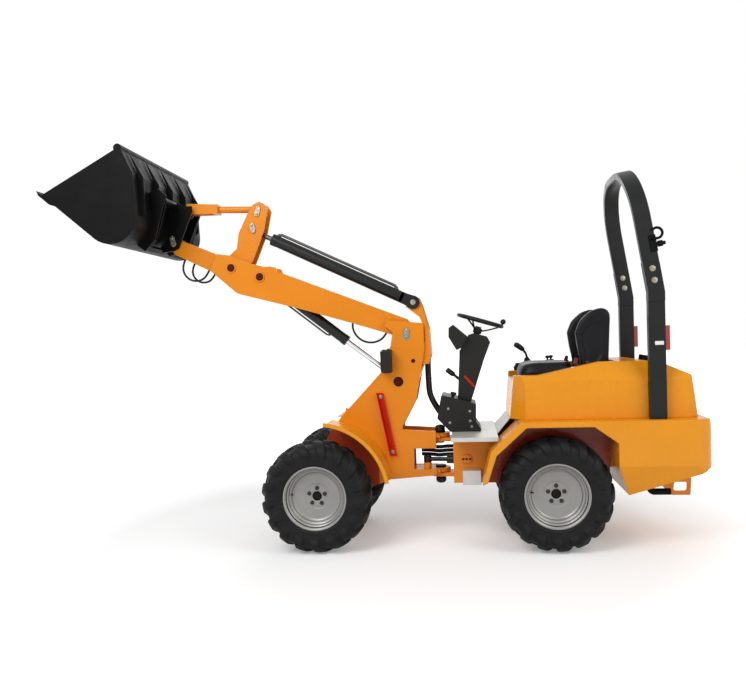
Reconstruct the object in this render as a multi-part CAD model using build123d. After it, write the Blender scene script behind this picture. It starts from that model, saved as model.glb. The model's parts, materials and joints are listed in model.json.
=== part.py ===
from build123d import *
import os
from math import atan2, cos, degrees, hypot, radians, sin

# Compact articulated wheel loader in millimetres: +X forward, +Y left, +Z up, ground at Z 0.
# It is drawn with the rear axle at X 0 and moved at export so that its box is centred on X 0.

# Wheels and axles
WHEELBASE = 1613
TRACK = 836
TYRE_D = 760
TYRE_W = 264
RIM_D = 434
RIM_W = 230
RIM_FLANGE = 8
RIM_DEPTH = 20
LUG_HEIGHT = 27
LUG_COUNT = 17
LUG_WIDTH = 46
AXLE_D = 120
HUB_D = 190
HUB_CAP_D = 124

# Pivot between the frames
PIVOT_X = 778
FRONT_LUG_Z = (716, 463)
REAR_LUG_Z = (684, 430)
LUG_T = 28
LUG_R = 72
PIVOT_PIN_D = 60
PIVOT_CAP_D = 76

# Front frame: a tower of two side plates
TOWER_W = 240
TOWER_T = 20
BOOM_PIVOT = (999, 1455)
TILT_ANCHOR = (-57, 241)
LIFT_ANCHOR = (64, -327)
EAR_T = 20
WEB_T = 12
ARM_X = 804
NOTCH_X = 965
NOTCH_Z = (493, 643)

# Boom, drawn level along its own axis from its pivot
BOOM_LENGTH = 1857
BOOM_ANGLE = 23.1
BOOM_W = 180
BOOM_T = 15
BOOM_BOX_W = 136
CRANK_PIVOT = (1386, -8)
LIFT_PIN = (1161, 8)

# Bell crank and link, from the crank's pivot and the boom's end
CRANK_ROD_PIN = (-167, 270)
CRANK_LINK_PIN = (-211, 432)
CRANK_GAP = 92
CRANK_T = 14
LINK_D = 50
FORK = (32, 46)
PIN_D = 40
SMALL_PIN_D = 30
PIN_HEAD = 34
PIN_HEAD_T = 8

# Bucket and hitch, drawn level from the hitch's lower pin and rolled back
BUCKET_ROLL = 40.5
BUCKET_W = 1200
BUCKET_T = 8
BUCKET_SIDE_T = 12
BUCKET_FLOOR = -231
BUCKET_TIP = 732
BUCKET_HEEL = 260
BUCKET_R = 180
BUCKET_BACK_ANGLE = 47
BUCKET_LIP_ANGLE = 25
BUCKET_BACK_LENGTH = 282
BUCKET_LIP_LENGTH = 200
TOP_TUBE_D = 56
EDGE_T = 16
EDGE_L = 130
HITCH_TOP_PIN = (88, 268)
HITCH_HALF = 334
HITCH_T = 15

# Cylinders
LIFT_BARREL_D = 75
LIFT_BARREL_L = 790
LIFT_ROD_D = 40
TILT_BARREL_D = 85
TILT_ROD_SHOWN = 141
TILT_SLEEVE_D = 58
TILT_ROD_D = 38
STEER_BARREL_D = 60
STEER_BARREL_L = 300
STEER_ROD_D = 30
STEER_Z = 560
STEER_REAR = (430, 130)
STEER_FRONT = (870, 70)
EYE_D = 84
STEER_EYE_D = 56
STEER_EYE_H = 44
BORE_WALL = 9

# Rear frame, body, hood and operator's place
FRAME_W = 400
FRAME_T = 20
FRAME_FRONT = 680
FRAME_REAR = -398
FRAME_TOP = 736
FLOOR_T = 28
FLOOR_W = 900
FLOOR_REAR = 372
BODY_W = 1060
BODY_TOP = 870
BODY_REAR = -1012
ARCH_TOP = 832
ARCH_WALL = 250
HOOD_W = 840
HOOD_T = 6
HOOD_FRONT = 284
HOOD_REAR = -975
HOOD_TOP = 1247
HOOD_DROP = 82
PANEL_H = 57
SEAT_DROP = 117
SEAT_W = 470
POST_W = 107
POST_T = 50
POST_X = -668
POST_Y = 450
POST_TOP = 1700
HOOP_TOP = 2545
HOOP_LEAN = 9.2
WHEEL_CENTRE = (464, 1550)
WHEEL_D = 350
WHEEL_LEAN = 17

# Running gap at pins and fits, and the seat of one piece on another
FIT = 0.3

TYRE_R = TYRE_D / 2
RIM_R = RIM_D / 2
BEAD_R = RIM_R - RIM_DEPTH
CARCASS_R = TYRE_R - LUG_HEIGHT
SEAT_Z = HOOD_TOP - SEAT_DROP
PANEL_TOP = HOOD_TOP - HOOD_DROP + PANEL_H


def offset(start, step):
    """Point at a step (x, z) from another."""
    return (start[0] + step[0], start[1] + step[1])


def turned(start, angle, along, across):
    """Point at (along, across) in axes that are turned up from X by an angle."""
    c, s = cos(radians(angle)), sin(radians(angle))
    return (start[0] + along * c - across * s, start[1] + along * s + across * c)


BOOM_END = turned(BOOM_PIVOT, BOOM_ANGLE, BOOM_LENGTH, 0)
CRANK_AT = turned(BOOM_PIVOT, BOOM_ANGLE, *CRANK_PIVOT)
LIFT_AT = turned(BOOM_PIVOT, BOOM_ANGLE, *LIFT_PIN)
ROD_AT = offset(CRANK_AT, CRANK_ROD_PIN)
LINK_AT = offset(CRANK_AT, CRANK_LINK_PIN)
HITCH_AT = turned(BOOM_END, BUCKET_ROLL, *HITCH_TOP_PIN)
TILT_AT = offset(BOOM_PIVOT, TILT_ANCHOR)
LIFT_FOOT = offset(BOOM_PIVOT, LIFT_ANCHOR)
TILT_BARREL_L = hypot(ROD_AT[0] - TILT_AT[0], ROD_AT[1] - TILT_AT[1]) - TILT_ROD_SHOWN


def outline(points, radius=0):
    """Face in the XZ plane through (x, z) points, with its corners rounded."""
    face = make_face(Polyline(*[(x, 0, z) for x, z in points], close=True))
    return fillet(face.vertices(), radius) if radius else face


def plate(points, y0, y1, radius=0):
    """Plate with an XZ outline between two Y planes."""
    return extrude(Pos(0, y0, 0) * outline(points, radius), amount=y1 - y0, dir=(0, 1, 0))


def pair(points, y0, y1, radius=0):
    """The same plate on the left and on the right."""
    left = plate(points, y0, y1, radius)
    return left + mirror(left, about=Plane.XZ)


def pin(at, diameter, y0, y1):
    """Round bar along Y at (x, z)."""
    return Pos(at[0], (y0 + y1) / 2, at[1]) * Rot(90, 0, 0) * Cylinder(diameter / 2, y1 - y0)


def cross_pin(at, diameter, width):
    """Round bar along Y through the mid-plane."""
    return pin(at, diameter, -width / 2, width / 2)


def bar(start, end, diameter, skip=0, length=None):
    """Round bar on the mid-plane from (x, z) towards another point, after a skipped length."""
    dx, dz = end[0] - start[0], end[1] - start[1]
    axis = Plane(origin=(start[0], 0, start[1]), z_dir=(dx, 0, dz))
    height = (length or hypot(dx, dz)) - skip
    return axis * Pos(0, 0, skip + height / 2) * Cylinder(diameter / 2, height)


def post(at, diameter, z0, z1):
    """Round upright at (x, y)."""
    return Pos(at[0], at[1], (z0 + z1) / 2) * Cylinder(diameter / 2, z1 - z0)


def block(x0, x1, y0, y1, z0, z1):
    """Box between pairs of planes."""
    return Pos((x0 + x1) / 2, (y0 + y1) / 2, (z0 + z1) / 2) * Box(x1 - x0, y1 - y0, z1 - z0)


def centred(x0, x1, width, z0, z1):
    """Box across the mid-plane."""
    return block(x0, x1, -width / 2, width / 2, z0, z1)


def length_of(start, end):
    return hypot(end[0] - start[0], end[1] - start[1])


# Wheels, drawn about Z with the outer side up, then laid on the axle


def ring(profile):
    """Solid of revolution about Z from (radius, height) points."""
    return revolve(make_face(Polyline(*[(r, 0, w) for r, w in profile], close=True)), Axis.Z)


def make_rim():
    half = RIM_W / 2
    dish = HUB_CAP_D / 2
    barrel = BEAD_R - 16
    profile = [
        (RIM_R, -half), (RIM_R, RIM_FLANGE - half), (BEAD_R, RIM_FLANGE + 4 - half),
        (BEAD_R, half - RIM_FLANGE - 4), (RIM_R, half - RIM_FLANGE), (RIM_R, half),
        (BEAD_R - 9, half - 2), (BEAD_R - 14, 44), (150, 26), (dish, 18), (dish, 38), (0, 42),
        (0, 2), (150, 10), (barrel - 5, 30), (barrel, 2 - half),
    ]
    return ring(profile)


def make_tyre():
    """Carcass with curved bars that run from its middle to each shoulder."""
    half = TYRE_W / 2
    seat = RIM_W / 2 - RIM_FLANGE - 4
    height = CARCASS_R - RIM_R
    # share of the wall's height, share of the half width
    wall = [(0.16, 0.977), (0.5, 1.0), (0.8, 0.92), (0.95, 0.74), (1.0, 0.35)]
    right = [(BEAD_R + FIT, seat - FIT), (RIM_R + FIT, seat + 3), (RIM_R + FIT, RIM_W / 2 + 1)]
    right += [(RIM_R + height * h, half * w) for h, w in wall]
    carcass = ring(right + [(r, -w) for r, w in reversed(right)])
    crown = ring([
        (CARCASS_R - 25, -half + 3), (TYRE_R - 14, -half + 3), (TYRE_R - 3, -half * 0.6),
        (TYRE_R, -half * 0.2), (TYRE_R, half * 0.2), (TYRE_R - 3, half * 0.6),
        (TYRE_R - 14, half - 3), (CARCASS_R - 25, half - 3),
    ])
    # place along the tread, place across it
    line = [(-44, 0.04 * half), (8, 0.5 * half), (34, half)]
    pitch = 360 / LUG_COUNT
    bars = []
    for side in (1, -1):
        edge = [(a - LUG_WIDTH / 2, side * w) for a, w in line]
        back = [(a + LUG_WIDTH / 2, side * w) for a, w in reversed(line)]
        face = make_face(Polyline(*edge, *back, close=True))
        upright = Plane(origin=(CARCASS_R - 25, 0, 0), x_dir=(0, 1, 0), z_dir=(1, 0, 0))
        lug = extrude(upright * face, amount=LUG_HEIGHT + 40, dir=(1, 0, 0)) & crown
        first = 0 if side > 0 else pitch / 2
        bars += [Rot(0, 0, first + pitch * i) * lug for i in range(LUG_COUNT)]
    return carcass.fuse(*bars)


def on_axle(wheel, x, left):
    """Wheel on the left of an axle, or its mirror image on the right."""
    placed = Pos(x, TRACK / 2, TYRE_R) * Rot(-90, 0, 0) * wheel
    return placed if left else mirror(placed, about=Plane.XZ)


def make_axle(x):
    """Axle tube with a hub drum behind each wheel disc."""
    at = (x, TYRE_R)
    drum_end = TRACK / 2 + 2 - FIT
    drum = pin(at, HUB_D, drum_end - 110, drum_end)
    return cross_pin(at, AXLE_D, TRACK - 200) + drum + mirror(drum, about=Plane.XZ)


# Front frame


def lug(reach, width, z):
    """Flat lug from a frame to its round nose at the pivot between the frames."""
    middle = block(min(PIVOT_X, reach), max(PIVOT_X, reach), -width / 2, width / 2, z, z + LUG_T)
    nose = post((PIVOT_X, 0), 2 * LUG_R, z, z + LUG_T)
    hole = post((PIVOT_X, 0), PIVOT_PIN_D + 2 * FIT, z, z + LUG_T)
    return middle + nose - hole


def make_front_frame():
    x, z = BOOM_PIVOT
    outer = TOWER_W / 2
    inner = outer - TOWER_T
    low, high = NOTCH_Z
    side = pair([
        (x + 140, z + 118), (x - 128, z + 89), (x - 128, z - 111), (x - 60, z - 461), (x + 42, z - 650),
        (x + 43, z - 673), (ARM_X, FRONT_LUG_Z[0] + 50), (ARM_X, high), (NOTCH_X, high), (NOTCH_X, low),
        (ARM_X, low), (ARM_X, FRONT_LUG_Z[1] - 14), (WHEELBASE - 476, TYRE_R + 43),
        (WHEELBASE - 113, TYRE_R - 90), (WHEELBASE + 110, TYRE_R - 90), (WHEELBASE + 110, TYRE_R + 120),
        (WHEELBASE - 53, TYRE_R + 410), (x + 474, z - 558), (x + 191, z - 260), (x + 114, z - 73),
        (x + 95, z + 32), (x + 152, z + 76),
    ], inner, outer)
    ears = pair([
        (x - 176, z - 141), (x - 166, z + 46), (x - 117, z + 223), (x - 97, z + 266), (x - 57, z + 285),
        (x - 14, z + 262), (x - 5, z + 210), (x - 99, z + 135), (x - 137, z + 45), (x - 137, z - 35),
        (x - 89, z - 125), (x - 89, z - 205), (x - 159, z - 205),
    ], inner - EAR_T, inner)
    wall = plate([
        (x - 176, z - 141), (x - 166, z + 46), (x - 166 + WEB_T, z + 46), (x - 176 + WEB_T, z - 141),
    ], EAR_T - inner, inner - EAR_T)
    back = plate([
        (x - 119, z - 216), (x - 119 + WEB_T, z - 216), (x + 40 + WEB_T, z - 640), (x + 40, z - 640),
    ], -inner, inner)
    belly = centred(NOTCH_X + 60, WHEELBASE - 150, 2 * inner, FRONT_LUG_Z[1], FRONT_LUG_Z[1] + WEB_T)
    nose = plate([
        (WHEELBASE - 68, TYRE_R + 340), (WHEELBASE - 56, TYRE_R + 347),
        (WHEELBASE + 92, TYRE_R + 125), (WHEELBASE + 80, TYRE_R + 118),
    ], -inner, inner)
    frame = side + ears + wall + back + belly + nose
    for lug_z in FRONT_LUG_Z:
        frame += lug(x + 46, 2 * inner, lug_z)
    spacer = cross_pin(TILT_AT, PIN_D + 30, 2 * inner) - cross_pin(TILT_AT, PIN_D + 40, EYE_GAP + 4)
    frame += spacer
    frame += post(STEER_FRONT, STEER_EYE_D, FRONT_LUG_Z[1], STEER_Z - STEER_EYE_H / 2 - FIT)
    frame -= cross_pin(BOOM_PIVOT, PIN_D + 20 + 2 * FIT, TOWER_W)
    frame -= cross_pin(TILT_AT, PIN_D + 2 * FIT, TOWER_W)
    frame -= cross_pin(LIFT_FOOT, 72, TOWER_W)
    frame -= cross_pin((x - 47, z - 180), 30, TOWER_W)
    return frame - cross_pin((WHEELBASE, TYRE_R), AXLE_D + 2 * FIT, TOWER_W)


def make_pivot_pins():
    """Upper and lower upright pins, each with a wider cap."""
    pins = []
    for front_z, rear_z in zip(FRONT_LUG_Z, REAR_LUG_Z):
        top = front_z + LUG_T + FIT
        shaft = post((PIVOT_X, 0), PIVOT_PIN_D, rear_z - 16, top)
        pins.append(shaft + post((PIVOT_X, 0), PIVOT_CAP_D, top, top + 14))
    return Compound(children=pins)


def make_front_fenders():
    """Bent strip round the back of each front wheel, with a lip along its outer edge."""
    radius = TYRE_R + 104
    inner, outer = TOWER_W / 2 + FIT, TRACK / 2 + 62
    arc = [(WHEELBASE + radius * cos(radians(a)), TYRE_R + radius * sin(radians(a))) for a in (97, 134, 170)]
    middle = [(x, 0, z) for x, z in arc]
    path = ThreePointArc(*middle)
    end = Plane(origin=middle[0], x_dir=(0, 1, 0), z_dir=path % 0)
    sheet = end * Pos((inner + outer) / 2, 0) * Rectangle(outer - inner, 5)
    lip = end * Pos(outer - 3, -11) * Rectangle(6, 26)
    left = sweep(sheet, path=path) + sweep(lip, path=path)
    return Compound(children=[left, mirror(left, about=Plane.XZ)])


def make_boom_prop():
    """Channel that lies against the tower until it holds up the raised boom."""
    x, z = BOOM_PIVOT
    face = TOWER_W / 2
    top, foot = (x + 200, z - 405), (x + 112, z - 860)
    shape = [(top[0] - 24, top[1]), (top[0] + 24, top[1]), (foot[0] + 24, foot[1]), (foot[0] - 24, foot[1])]
    hollow = [(top[0] - 18, top[1]), (top[0] + 18, top[1]), (foot[0] + 18, foot[1]), (foot[0] - 18, foot[1])]
    return plate(shape, face, face + 34) - plate(hollow, face + 6, face + 34)


def make_front_lamps():
    """Work lamp on each side of the tower, looking forward."""
    x, z = BOOM_PIVOT[0] + 104, BOOM_PIVOT[1] - 175
    face = TOWER_W / 2
    box = block(x, x + 62, face, face + 110, z - 82, z + 82)
    box = fillet(box.edges().filter_by(Axis.X), 14)
    lens = block(x + 62, x + 74, face + 10, face + 100, z - 72, z + 72)
    left = box + lens
    return Compound(children=[left, mirror(left, about=Plane.XZ)])


# Boom, crank, link, hitch and bucket

BOOM_FRAME = Pos(BOOM_PIVOT[0], 0, BOOM_PIVOT[1]) * Rot(0, -BOOM_ANGLE, 0)
BUCKET_FRAME = Pos(BOOM_END[0], 0, BOOM_END[1]) * Rot(0, -BUCKET_ROLL, 0)
EYE_GAP = CRANK_GAP - 4


def make_boom():
    outer = BOOM_W / 2
    inner = outer - BOOM_T
    c, n = CRANK_PIVOT
    side = pair([
        (50, 113), (-40, 74), (-66, 10), (-40, -50), (108, -30), (402, -57), (840, -106), (c - 139, n - 155),
        (c - 106, n - 156), (c + 140, n - 75), (c + 140, n + 55), (c + 42, n + 82), (c - 130, n + 84),
        (c - 230, n + 96), (c - 264, n + 114), (c - 311, n + 122), (c - 331, n + 98),
    ], inner, outer)
    web = centred(130, c - 350, 2 * inner, 36, 48)
    ledge = centred(c + 128, c + 140, 2 * inner, n - 72, n + 30)
    tip = plate([
        (c + 128, n + 30), (c + 160, n + 52), (BOOM_LENGTH - 16, 42), (BOOM_LENGTH, -52), (BOOM_LENGTH - 28, -70),
        (c + 128, n - 79),
    ], -BOOM_BOX_W / 2, BOOM_BOX_W / 2)
    boom = side + web + ledge + tip + cross_pin((0, 0), 112, BOOM_W) + cross_pin((BOOM_LENGTH, 0), 96, BOOM_BOX_W)
    boom -= cross_pin((0, 0), PIN_D + 20 + 2 * FIT, BOOM_W)
    boom -= cross_pin((BOOM_LENGTH, 0), PIN_D + 2 * FIT, BOOM_W)
    boom -= cross_pin(CRANK_PIVOT, PIN_D + 2 * FIT, BOOM_W)
    boom -= cross_pin(LIFT_PIN, PIN_D + 2 * FIT, BOOM_W)
    return BOOM_FRAME * boom


def headed_pin(at, diameter, width):
    """Pin with a flat keeper disc at each end."""
    shaft = cross_pin(at, diameter, width)
    head = pin(at, diameter + PIN_HEAD, width / 2, width / 2 + PIN_HEAD_T)
    return shaft + head + mirror(head, about=Plane.XZ)


def stub_pins(at, diameter, y0, y1):
    """Short pin with a keeper disc in each of two plates."""
    left = pin(at, diameter, y0, y1 + FIT) + pin(at, diameter + PIN_HEAD, y1 + FIT, y1 + FIT + PIN_HEAD_T)
    return Compound(children=[left, mirror(left, about=Plane.XZ)])


def make_boom_pins():
    """Pivot pin in the tower and the lift cylinder's pin in the boom."""
    pivot = cross_pin(BOOM_PIVOT, PIN_D + 20, TOWER_W + 8)
    return Compound(children=[pivot, headed_pin(LIFT_AT, PIN_D, BOOM_W + 2 * FIT)])


def make_bell_crank():
    """Two curved plates joined by a hub, held apart for the rod's and the link's eyes."""
    x, z = CRANK_AT
    rod_x, rod_z = ROD_AT
    link_x, link_z = LINK_AT
    inner = CRANK_GAP / 2
    side = pair([
        (x + 17, z + 94), (x - 38, z + 143), (x - 49, z + 209), (x - 56, z + 256), (link_x + 83, link_z - 34),
        (link_x + 42, link_z + 30), (link_x - 6, link_z + 50), (link_x - 46, link_z + 30),
        (link_x - 68, link_z - 8), (rod_x - 77, rod_z - 8), (x - 150, z + 40), (x - 60, z - 62), (x + 40, z - 54),
        (x + 66, z + 10),
    ], inner, inner + CRANK_T)
    hub = cross_pin(CRANK_AT, PIN_D + 40, BOOM_W - 2 * BOOM_T - 2)
    stay = cross_pin((x - 120, z + 130), 50, CRANK_GAP)
    crank = side + hub + stay
    crank -= cross_pin(CRANK_AT, PIN_D + 2 * FIT, BOOM_W)
    crank -= cross_pin(LINK_AT, PIN_D + 2 * FIT, BOOM_W)
    return crank - cross_pin(ROD_AT, PIN_D + 2 * FIT, BOOM_W)


def make_tilt_link():
    """Tube with an eye at the crank and a fork at the hitch."""
    eye = cross_pin(LINK_AT, EYE_D, EYE_GAP)
    reach = length_of(LINK_AT, HITCH_AT)
    angle = degrees(atan2(HITCH_AT[1] - LINK_AT[1], HITCH_AT[0] - LINK_AT[0]))
    frame = Pos(LINK_AT[0], 0, LINK_AT[1]) * Rot(0, -angle, 0)
    cheek = pair([
        (reach - 190, 34), (reach + 14, 40), (reach + 32, 0), (reach + 14, -40), (reach - 190, -34),
    ], *FORK)
    yoke = centred(reach - 220, reach - 184, 2 * FORK[1], -34, 34)
    link = eye + frame * (bar((0, 0), (reach - 200, 0), LINK_D) + cheek + yoke)
    link -= cross_pin(LINK_AT, PIN_D + 2 * FIT, CRANK_GAP)
    return link - cross_pin(HITCH_AT, PIN_D + 2 * FIT, 2 * CRANK_GAP)


def make_hitch():
    """Two main plates with the pins' holes, joined by a hook tube and a lower bar."""
    u, v = HITCH_TOP_PIN
    inner = BOOM_BOX_W / 2 + 6
    main = pair([
        (-48, 0), (-30, -42), (40, -118), (64, -100), (58, 0), (120, 80), (196, 200), (200, 252), (120, 262),
        (u - 20, v + 34), (u - 50, v),
    ], inner, inner + HITCH_T)
    tube = cross_pin((170, 226), 50, 2 * HITCH_HALF)
    sill = block(28, 62, inner, HITCH_HALF, -118, -84)
    sill += mirror(sill, about=Plane.XZ)
    wing = pair([
        (28, -118), (62, -118), (64, -20), (112, 60), (196, 200), (196, 250), (146, 250), (70, 90), (28, -20),
    ], HITCH_HALF - 30, HITCH_HALF - 16)
    boss = plate([(u - 34, v - 26), (u - 10, v + 38), (u + 30, v + 34), (u + 96, v - 30), (u + 70, v - 70)], -26, 26)
    hitch = main + tube + sill + wing + boss
    hitch -= cross_pin((0, 0), PIN_D + 2 * FIT, 2 * HITCH_HALF)
    top_hole = cross_pin((u, v), PIN_D + 2 * FIT, 60)
    return BUCKET_FRAME * (hitch - top_hole)


def bucket_line(inset):
    """Half of the bucket's section from tip to lip, moved in by an inset."""
    floor = BUCKET_FLOOR + inset
    radius = BUCKET_R - inset
    centre = (BUCKET_HEEL, BUCKET_FLOOR + BUCKET_R)
    back = BUCKET_BACK_ANGLE
    lip = BUCKET_LIP_ANGLE
    a = radians(90 + back)
    top_arc = (centre[0] + radius * cos(a), centre[1] + radius * sin(a))
    half = (back - lip) / 2
    along = BUCKET_BACK_LENGTH - inset * sin(radians(half)) / cos(radians(half))
    bend = turned(top_arc, back, along, 0)
    end = turned(bend, lip, BUCKET_LIP_LENGTH, 0)
    left = (centre[0] - radius, centre[1])
    return [(BUCKET_TIP, floor), (BUCKET_HEEL, floor)], left, [top_arc, bend, end]


def bucket_face(first, second):
    """Face in XZ between one line of the bucket's section and another, or its chord."""
    near, left, far = first
    to = lambda p: (p[0], 0, p[1])
    edges = [
        Polyline(*map(to, near)), ThreePointArc(to(near[-1]), to(left), to(far[0])), Polyline(*map(to, far)),
    ]
    if second is None:
        edges.append(Line(to(far[-1]), to(near[0])))
        return make_face(edges)
    near2, left2, far2 = second
    edges += [
        Line(to(far[-1]), to(far2[-1])), Polyline(*map(to, far2)),
        ThreePointArc(to(near2[-1]), to(left2), to(far2[0])), Polyline(*map(to, near2)),
        Line(to(near2[0]), to(near[0])),
    ]
    return make_face(edges)


def make_bucket():
    """Bent floor and back with side plates, top tube, back ribs and hitch brackets."""
    skin_line, inside_line = bucket_line(0), bucket_line(BUCKET_T)
    half = BUCKET_W / 2
    inner = half - BUCKET_SIDE_T
    skin = extrude(Pos(0, -inner, 0) * bucket_face(skin_line, inside_line), amount=2 * inner, dir=(0, 1, 0))
    end = extrude(Pos(0, inner, 0) * bucket_face(skin_line, None), amount=BUCKET_SIDE_T, dir=(0, 1, 0))
    lip = skin_line[2][2]
    bend = skin_line[2][1]
    low = skin_line[2][0]
    tube = cross_pin((lip[0] + 6, lip[1] - 16), TOP_TUBE_D, BUCKET_W)
    bucket = skin + end + mirror(end, about=Plane.XZ) + tube
    rib = plate([low, (low[0] - 6, low[1] + 34), (bend[0] - 36, bend[1] + 14), (lip[0] - 20, lip[1] + 4), bend], -6, 6)
    for y in (-500, -250, 0, 250, 500):
        bucket += Pos(0, y, 0) * rib
    hook = pair([
        (28, -125), (100, -130), (90, -40), (130, 74), (260, 218), (230, 280), (150, 275), (120, 190),
        (60, 60), (24, -20),
    ], HITCH_HALF + FIT, HITCH_HALF + FIT + 16)
    return BUCKET_FRAME * (bucket + hook)


def make_cutting_edge():
    """Bevelled blade under the front of the bucket's floor."""
    top = BUCKET_FLOOR
    blade = plate([
        (BUCKET_TIP + 45, top), (BUCKET_TIP + 45 - EDGE_L, top), (BUCKET_TIP + 45 - EDGE_L, top - EDGE_T),
        (BUCKET_TIP + 15, top - EDGE_T),
    ], -BUCKET_W / 2 - 4, BUCKET_W / 2 + 4)
    return BUCKET_FRAME * blade


# Cylinders


def make_barrel(eye_at, towards, diameter, length, bore, eye_width, pin_d):
    """Cylinder tube with an eye at its closed end."""
    tube = bar(eye_at, towards, diameter, skip=EYE_D / 2 - 8, length=length)
    gland = bar(eye_at, towards, diameter + 4, skip=length - 36, length=length)
    hollow = bar(eye_at, towards, bore, skip=EYE_D / 2 + 14, length=length + 1)
    eye = cross_pin(eye_at, EYE_D, eye_width)
    return eye + tube + gland - hollow - cross_pin(eye_at, pin_d + 2 * FIT, 2 * eye_width)


def make_lift_barrel():
    bore = LIFT_BARREL_D - 2 * BORE_WALL
    return make_barrel(LIFT_AT, LIFT_FOOT, LIFT_BARREL_D, LIFT_BARREL_L, bore, EYE_GAP, PIN_D)


def make_lift_rod():
    """Rod with a piston in the barrel and an eye with its pin at the tower."""
    reach = length_of(LIFT_AT, LIFT_FOOT)
    start = LIFT_BARREL_L - 350
    rod = bar(LIFT_AT, LIFT_FOOT, LIFT_ROD_D, skip=start, length=reach)
    piston = bar(LIFT_AT, LIFT_FOOT, LIFT_BARREL_D - 2 * BORE_WALL - 2 * FIT, skip=start, length=start + 40)
    eye = cross_pin(LIFT_FOOT, EYE_D, EYE_GAP)
    return rod + piston + eye + cross_pin(LIFT_FOOT, PIN_D, TOWER_W - 2 * TOWER_T - 4)


def make_tilt_barrel():
    return make_barrel(
        TILT_AT, ROD_AT, TILT_BARREL_D, TILT_BARREL_L, TILT_SLEEVE_D + 2 * FIT, EYE_GAP, PIN_D)


def make_tilt_sleeve():
    """Outer stage of the tilt rod, drawn back into the barrel while the boom is up."""
    start, end = TILT_BARREL_L - 560, TILT_BARREL_L + 2
    tube = bar(TILT_AT, ROD_AT, TILT_SLEEVE_D, skip=start, length=end)
    return tube - bar(TILT_AT, ROD_AT, TILT_ROD_D + 2 * FIT, skip=start - 1, length=end + 1)


def make_tilt_rod():
    """Inner stage of the tilt rod with its eye between the crank's plates."""
    reach = length_of(TILT_AT, ROD_AT)
    rod = bar(TILT_AT, ROD_AT, TILT_ROD_D, skip=TILT_BARREL_L - 420, length=reach)
    eye = cross_pin(ROD_AT, EYE_D, EYE_GAP)
    return rod + eye - cross_pin(ROD_AT, PIN_D + 2 * FIT, CRANK_GAP)


def level_bar(diameter, skip, length):
    """Round bar along the steering cylinder's level axis from its rear pin."""
    dx, dy = STEER_FRONT[0] - STEER_REAR[0], STEER_FRONT[1] - STEER_REAR[1]
    axis = Plane(origin=(STEER_REAR[0], STEER_REAR[1], STEER_Z), z_dir=(dx, dy, 0))
    return axis * Pos(0, 0, (skip + length) / 2) * Cylinder(diameter / 2, length - skip)


def make_steering_barrel():
    tube = level_bar(STEER_BARREL_D, 20, STEER_BARREL_L)
    eye = post(STEER_REAR, STEER_EYE_D, STEER_Z - STEER_EYE_H / 2, STEER_Z + STEER_EYE_H / 2)
    bore = level_bar(STEER_ROD_D + 2 * FIT, 40, STEER_BARREL_L + 1)
    return eye + tube - bore - post(STEER_REAR, SMALL_PIN_D + 2 * FIT, STEER_Z - 40, STEER_Z + 40)


def make_steering_rod():
    reach = length_of(STEER_REAR, STEER_FRONT)
    rod = level_bar(STEER_ROD_D, STEER_BARREL_L - 170, reach)
    return rod + post(STEER_FRONT, STEER_EYE_D, STEER_Z - STEER_EYE_H / 2, STEER_Z + STEER_EYE_H / 2)


# Rear frame and body


def make_rear_frame():
    outer = FRAME_W / 2
    inner = outer - FRAME_T
    front = FRAME_FRONT - 25
    low = REAR_LUG_Z[1] - 20
    side = pair([
        (front, FRAME_TOP), (front, low), (300, low), (120, TYRE_R - 90), (-120, TYRE_R - 90), (-300, low),
        (FRAME_REAR, low + 20), (FRAME_REAR, 700), (300, 700), (FLOOR_REAR - 20, FRAME_TOP),
    ], inner, outer)
    head = centred(front, FRAME_FRONT, FRAME_W, low, FRAME_TOP)
    head -= block(front, FRAME_FRONT, 15, 168, STEER_Z - 44, STEER_Z + 44)
    belly = centred(300, front, 2 * inner, low, low + WEB_T)
    tail = centred(FRAME_REAR, FRAME_REAR + WEB_T, 2 * inner, low + 20, 460)
    bridge = centred(STEER_REAR[0] - 60, STEER_REAR[0] + 40, 2 * inner, STEER_Z - 54, STEER_Z - 34)
    frame = side + head + belly + tail + bridge
    for lug_z in REAR_LUG_Z:
        frame += lug(front, 2 * LUG_R - 8, lug_z)
    pillar = post(STEER_REAR, SMALL_PIN_D, STEER_Z - 54, STEER_Z + 30)
    return frame + pillar - cross_pin((0, TYRE_R), AXLE_D + 2 * FIT, FRAME_W)


def make_floor_tray():
    """Folded floor with a down-turned edge, and the toe board up to the hood."""
    top = FRAME_TOP + FLOOR_T
    tray = centred(FLOOR_REAR, FRAME_FRONT + 8, FLOOR_W, FRAME_TOP, top)
    tray -= centred(FLOOR_REAR + 5, FRAME_FRONT + 3, FLOOR_W - 10, FRAME_TOP, top - 5)
    ribs = [block(FLOOR_REAR + 5, FRAME_FRONT + 3, y - 20, y + 20, FRAME_TOP, top - 5) for y in (-190, 190)]
    toe = plate([
        (FLOOR_REAR, top), (FLOOR_REAR, top - 7), (HOOD_FRONT + 1, BODY_TOP - 9), (HOOD_FRONT + 1, BODY_TOP - 2),
    ], FIT - ARCH_WALL, ARCH_WALL - FIT)
    return tray + ribs[0] + ribs[1] + toe


def belly_z(x):
    """Height of the slanted underside of the rear weight."""
    if x > -740:
        return 371 + (-469 - x) * 87 / 271
    return 458 + (-740 - x) * 57 / 183


def make_side_box():
    return block(491, 617, FRAME_W / 2, FRAME_W / 2 + 70, 408, 508)


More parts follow.
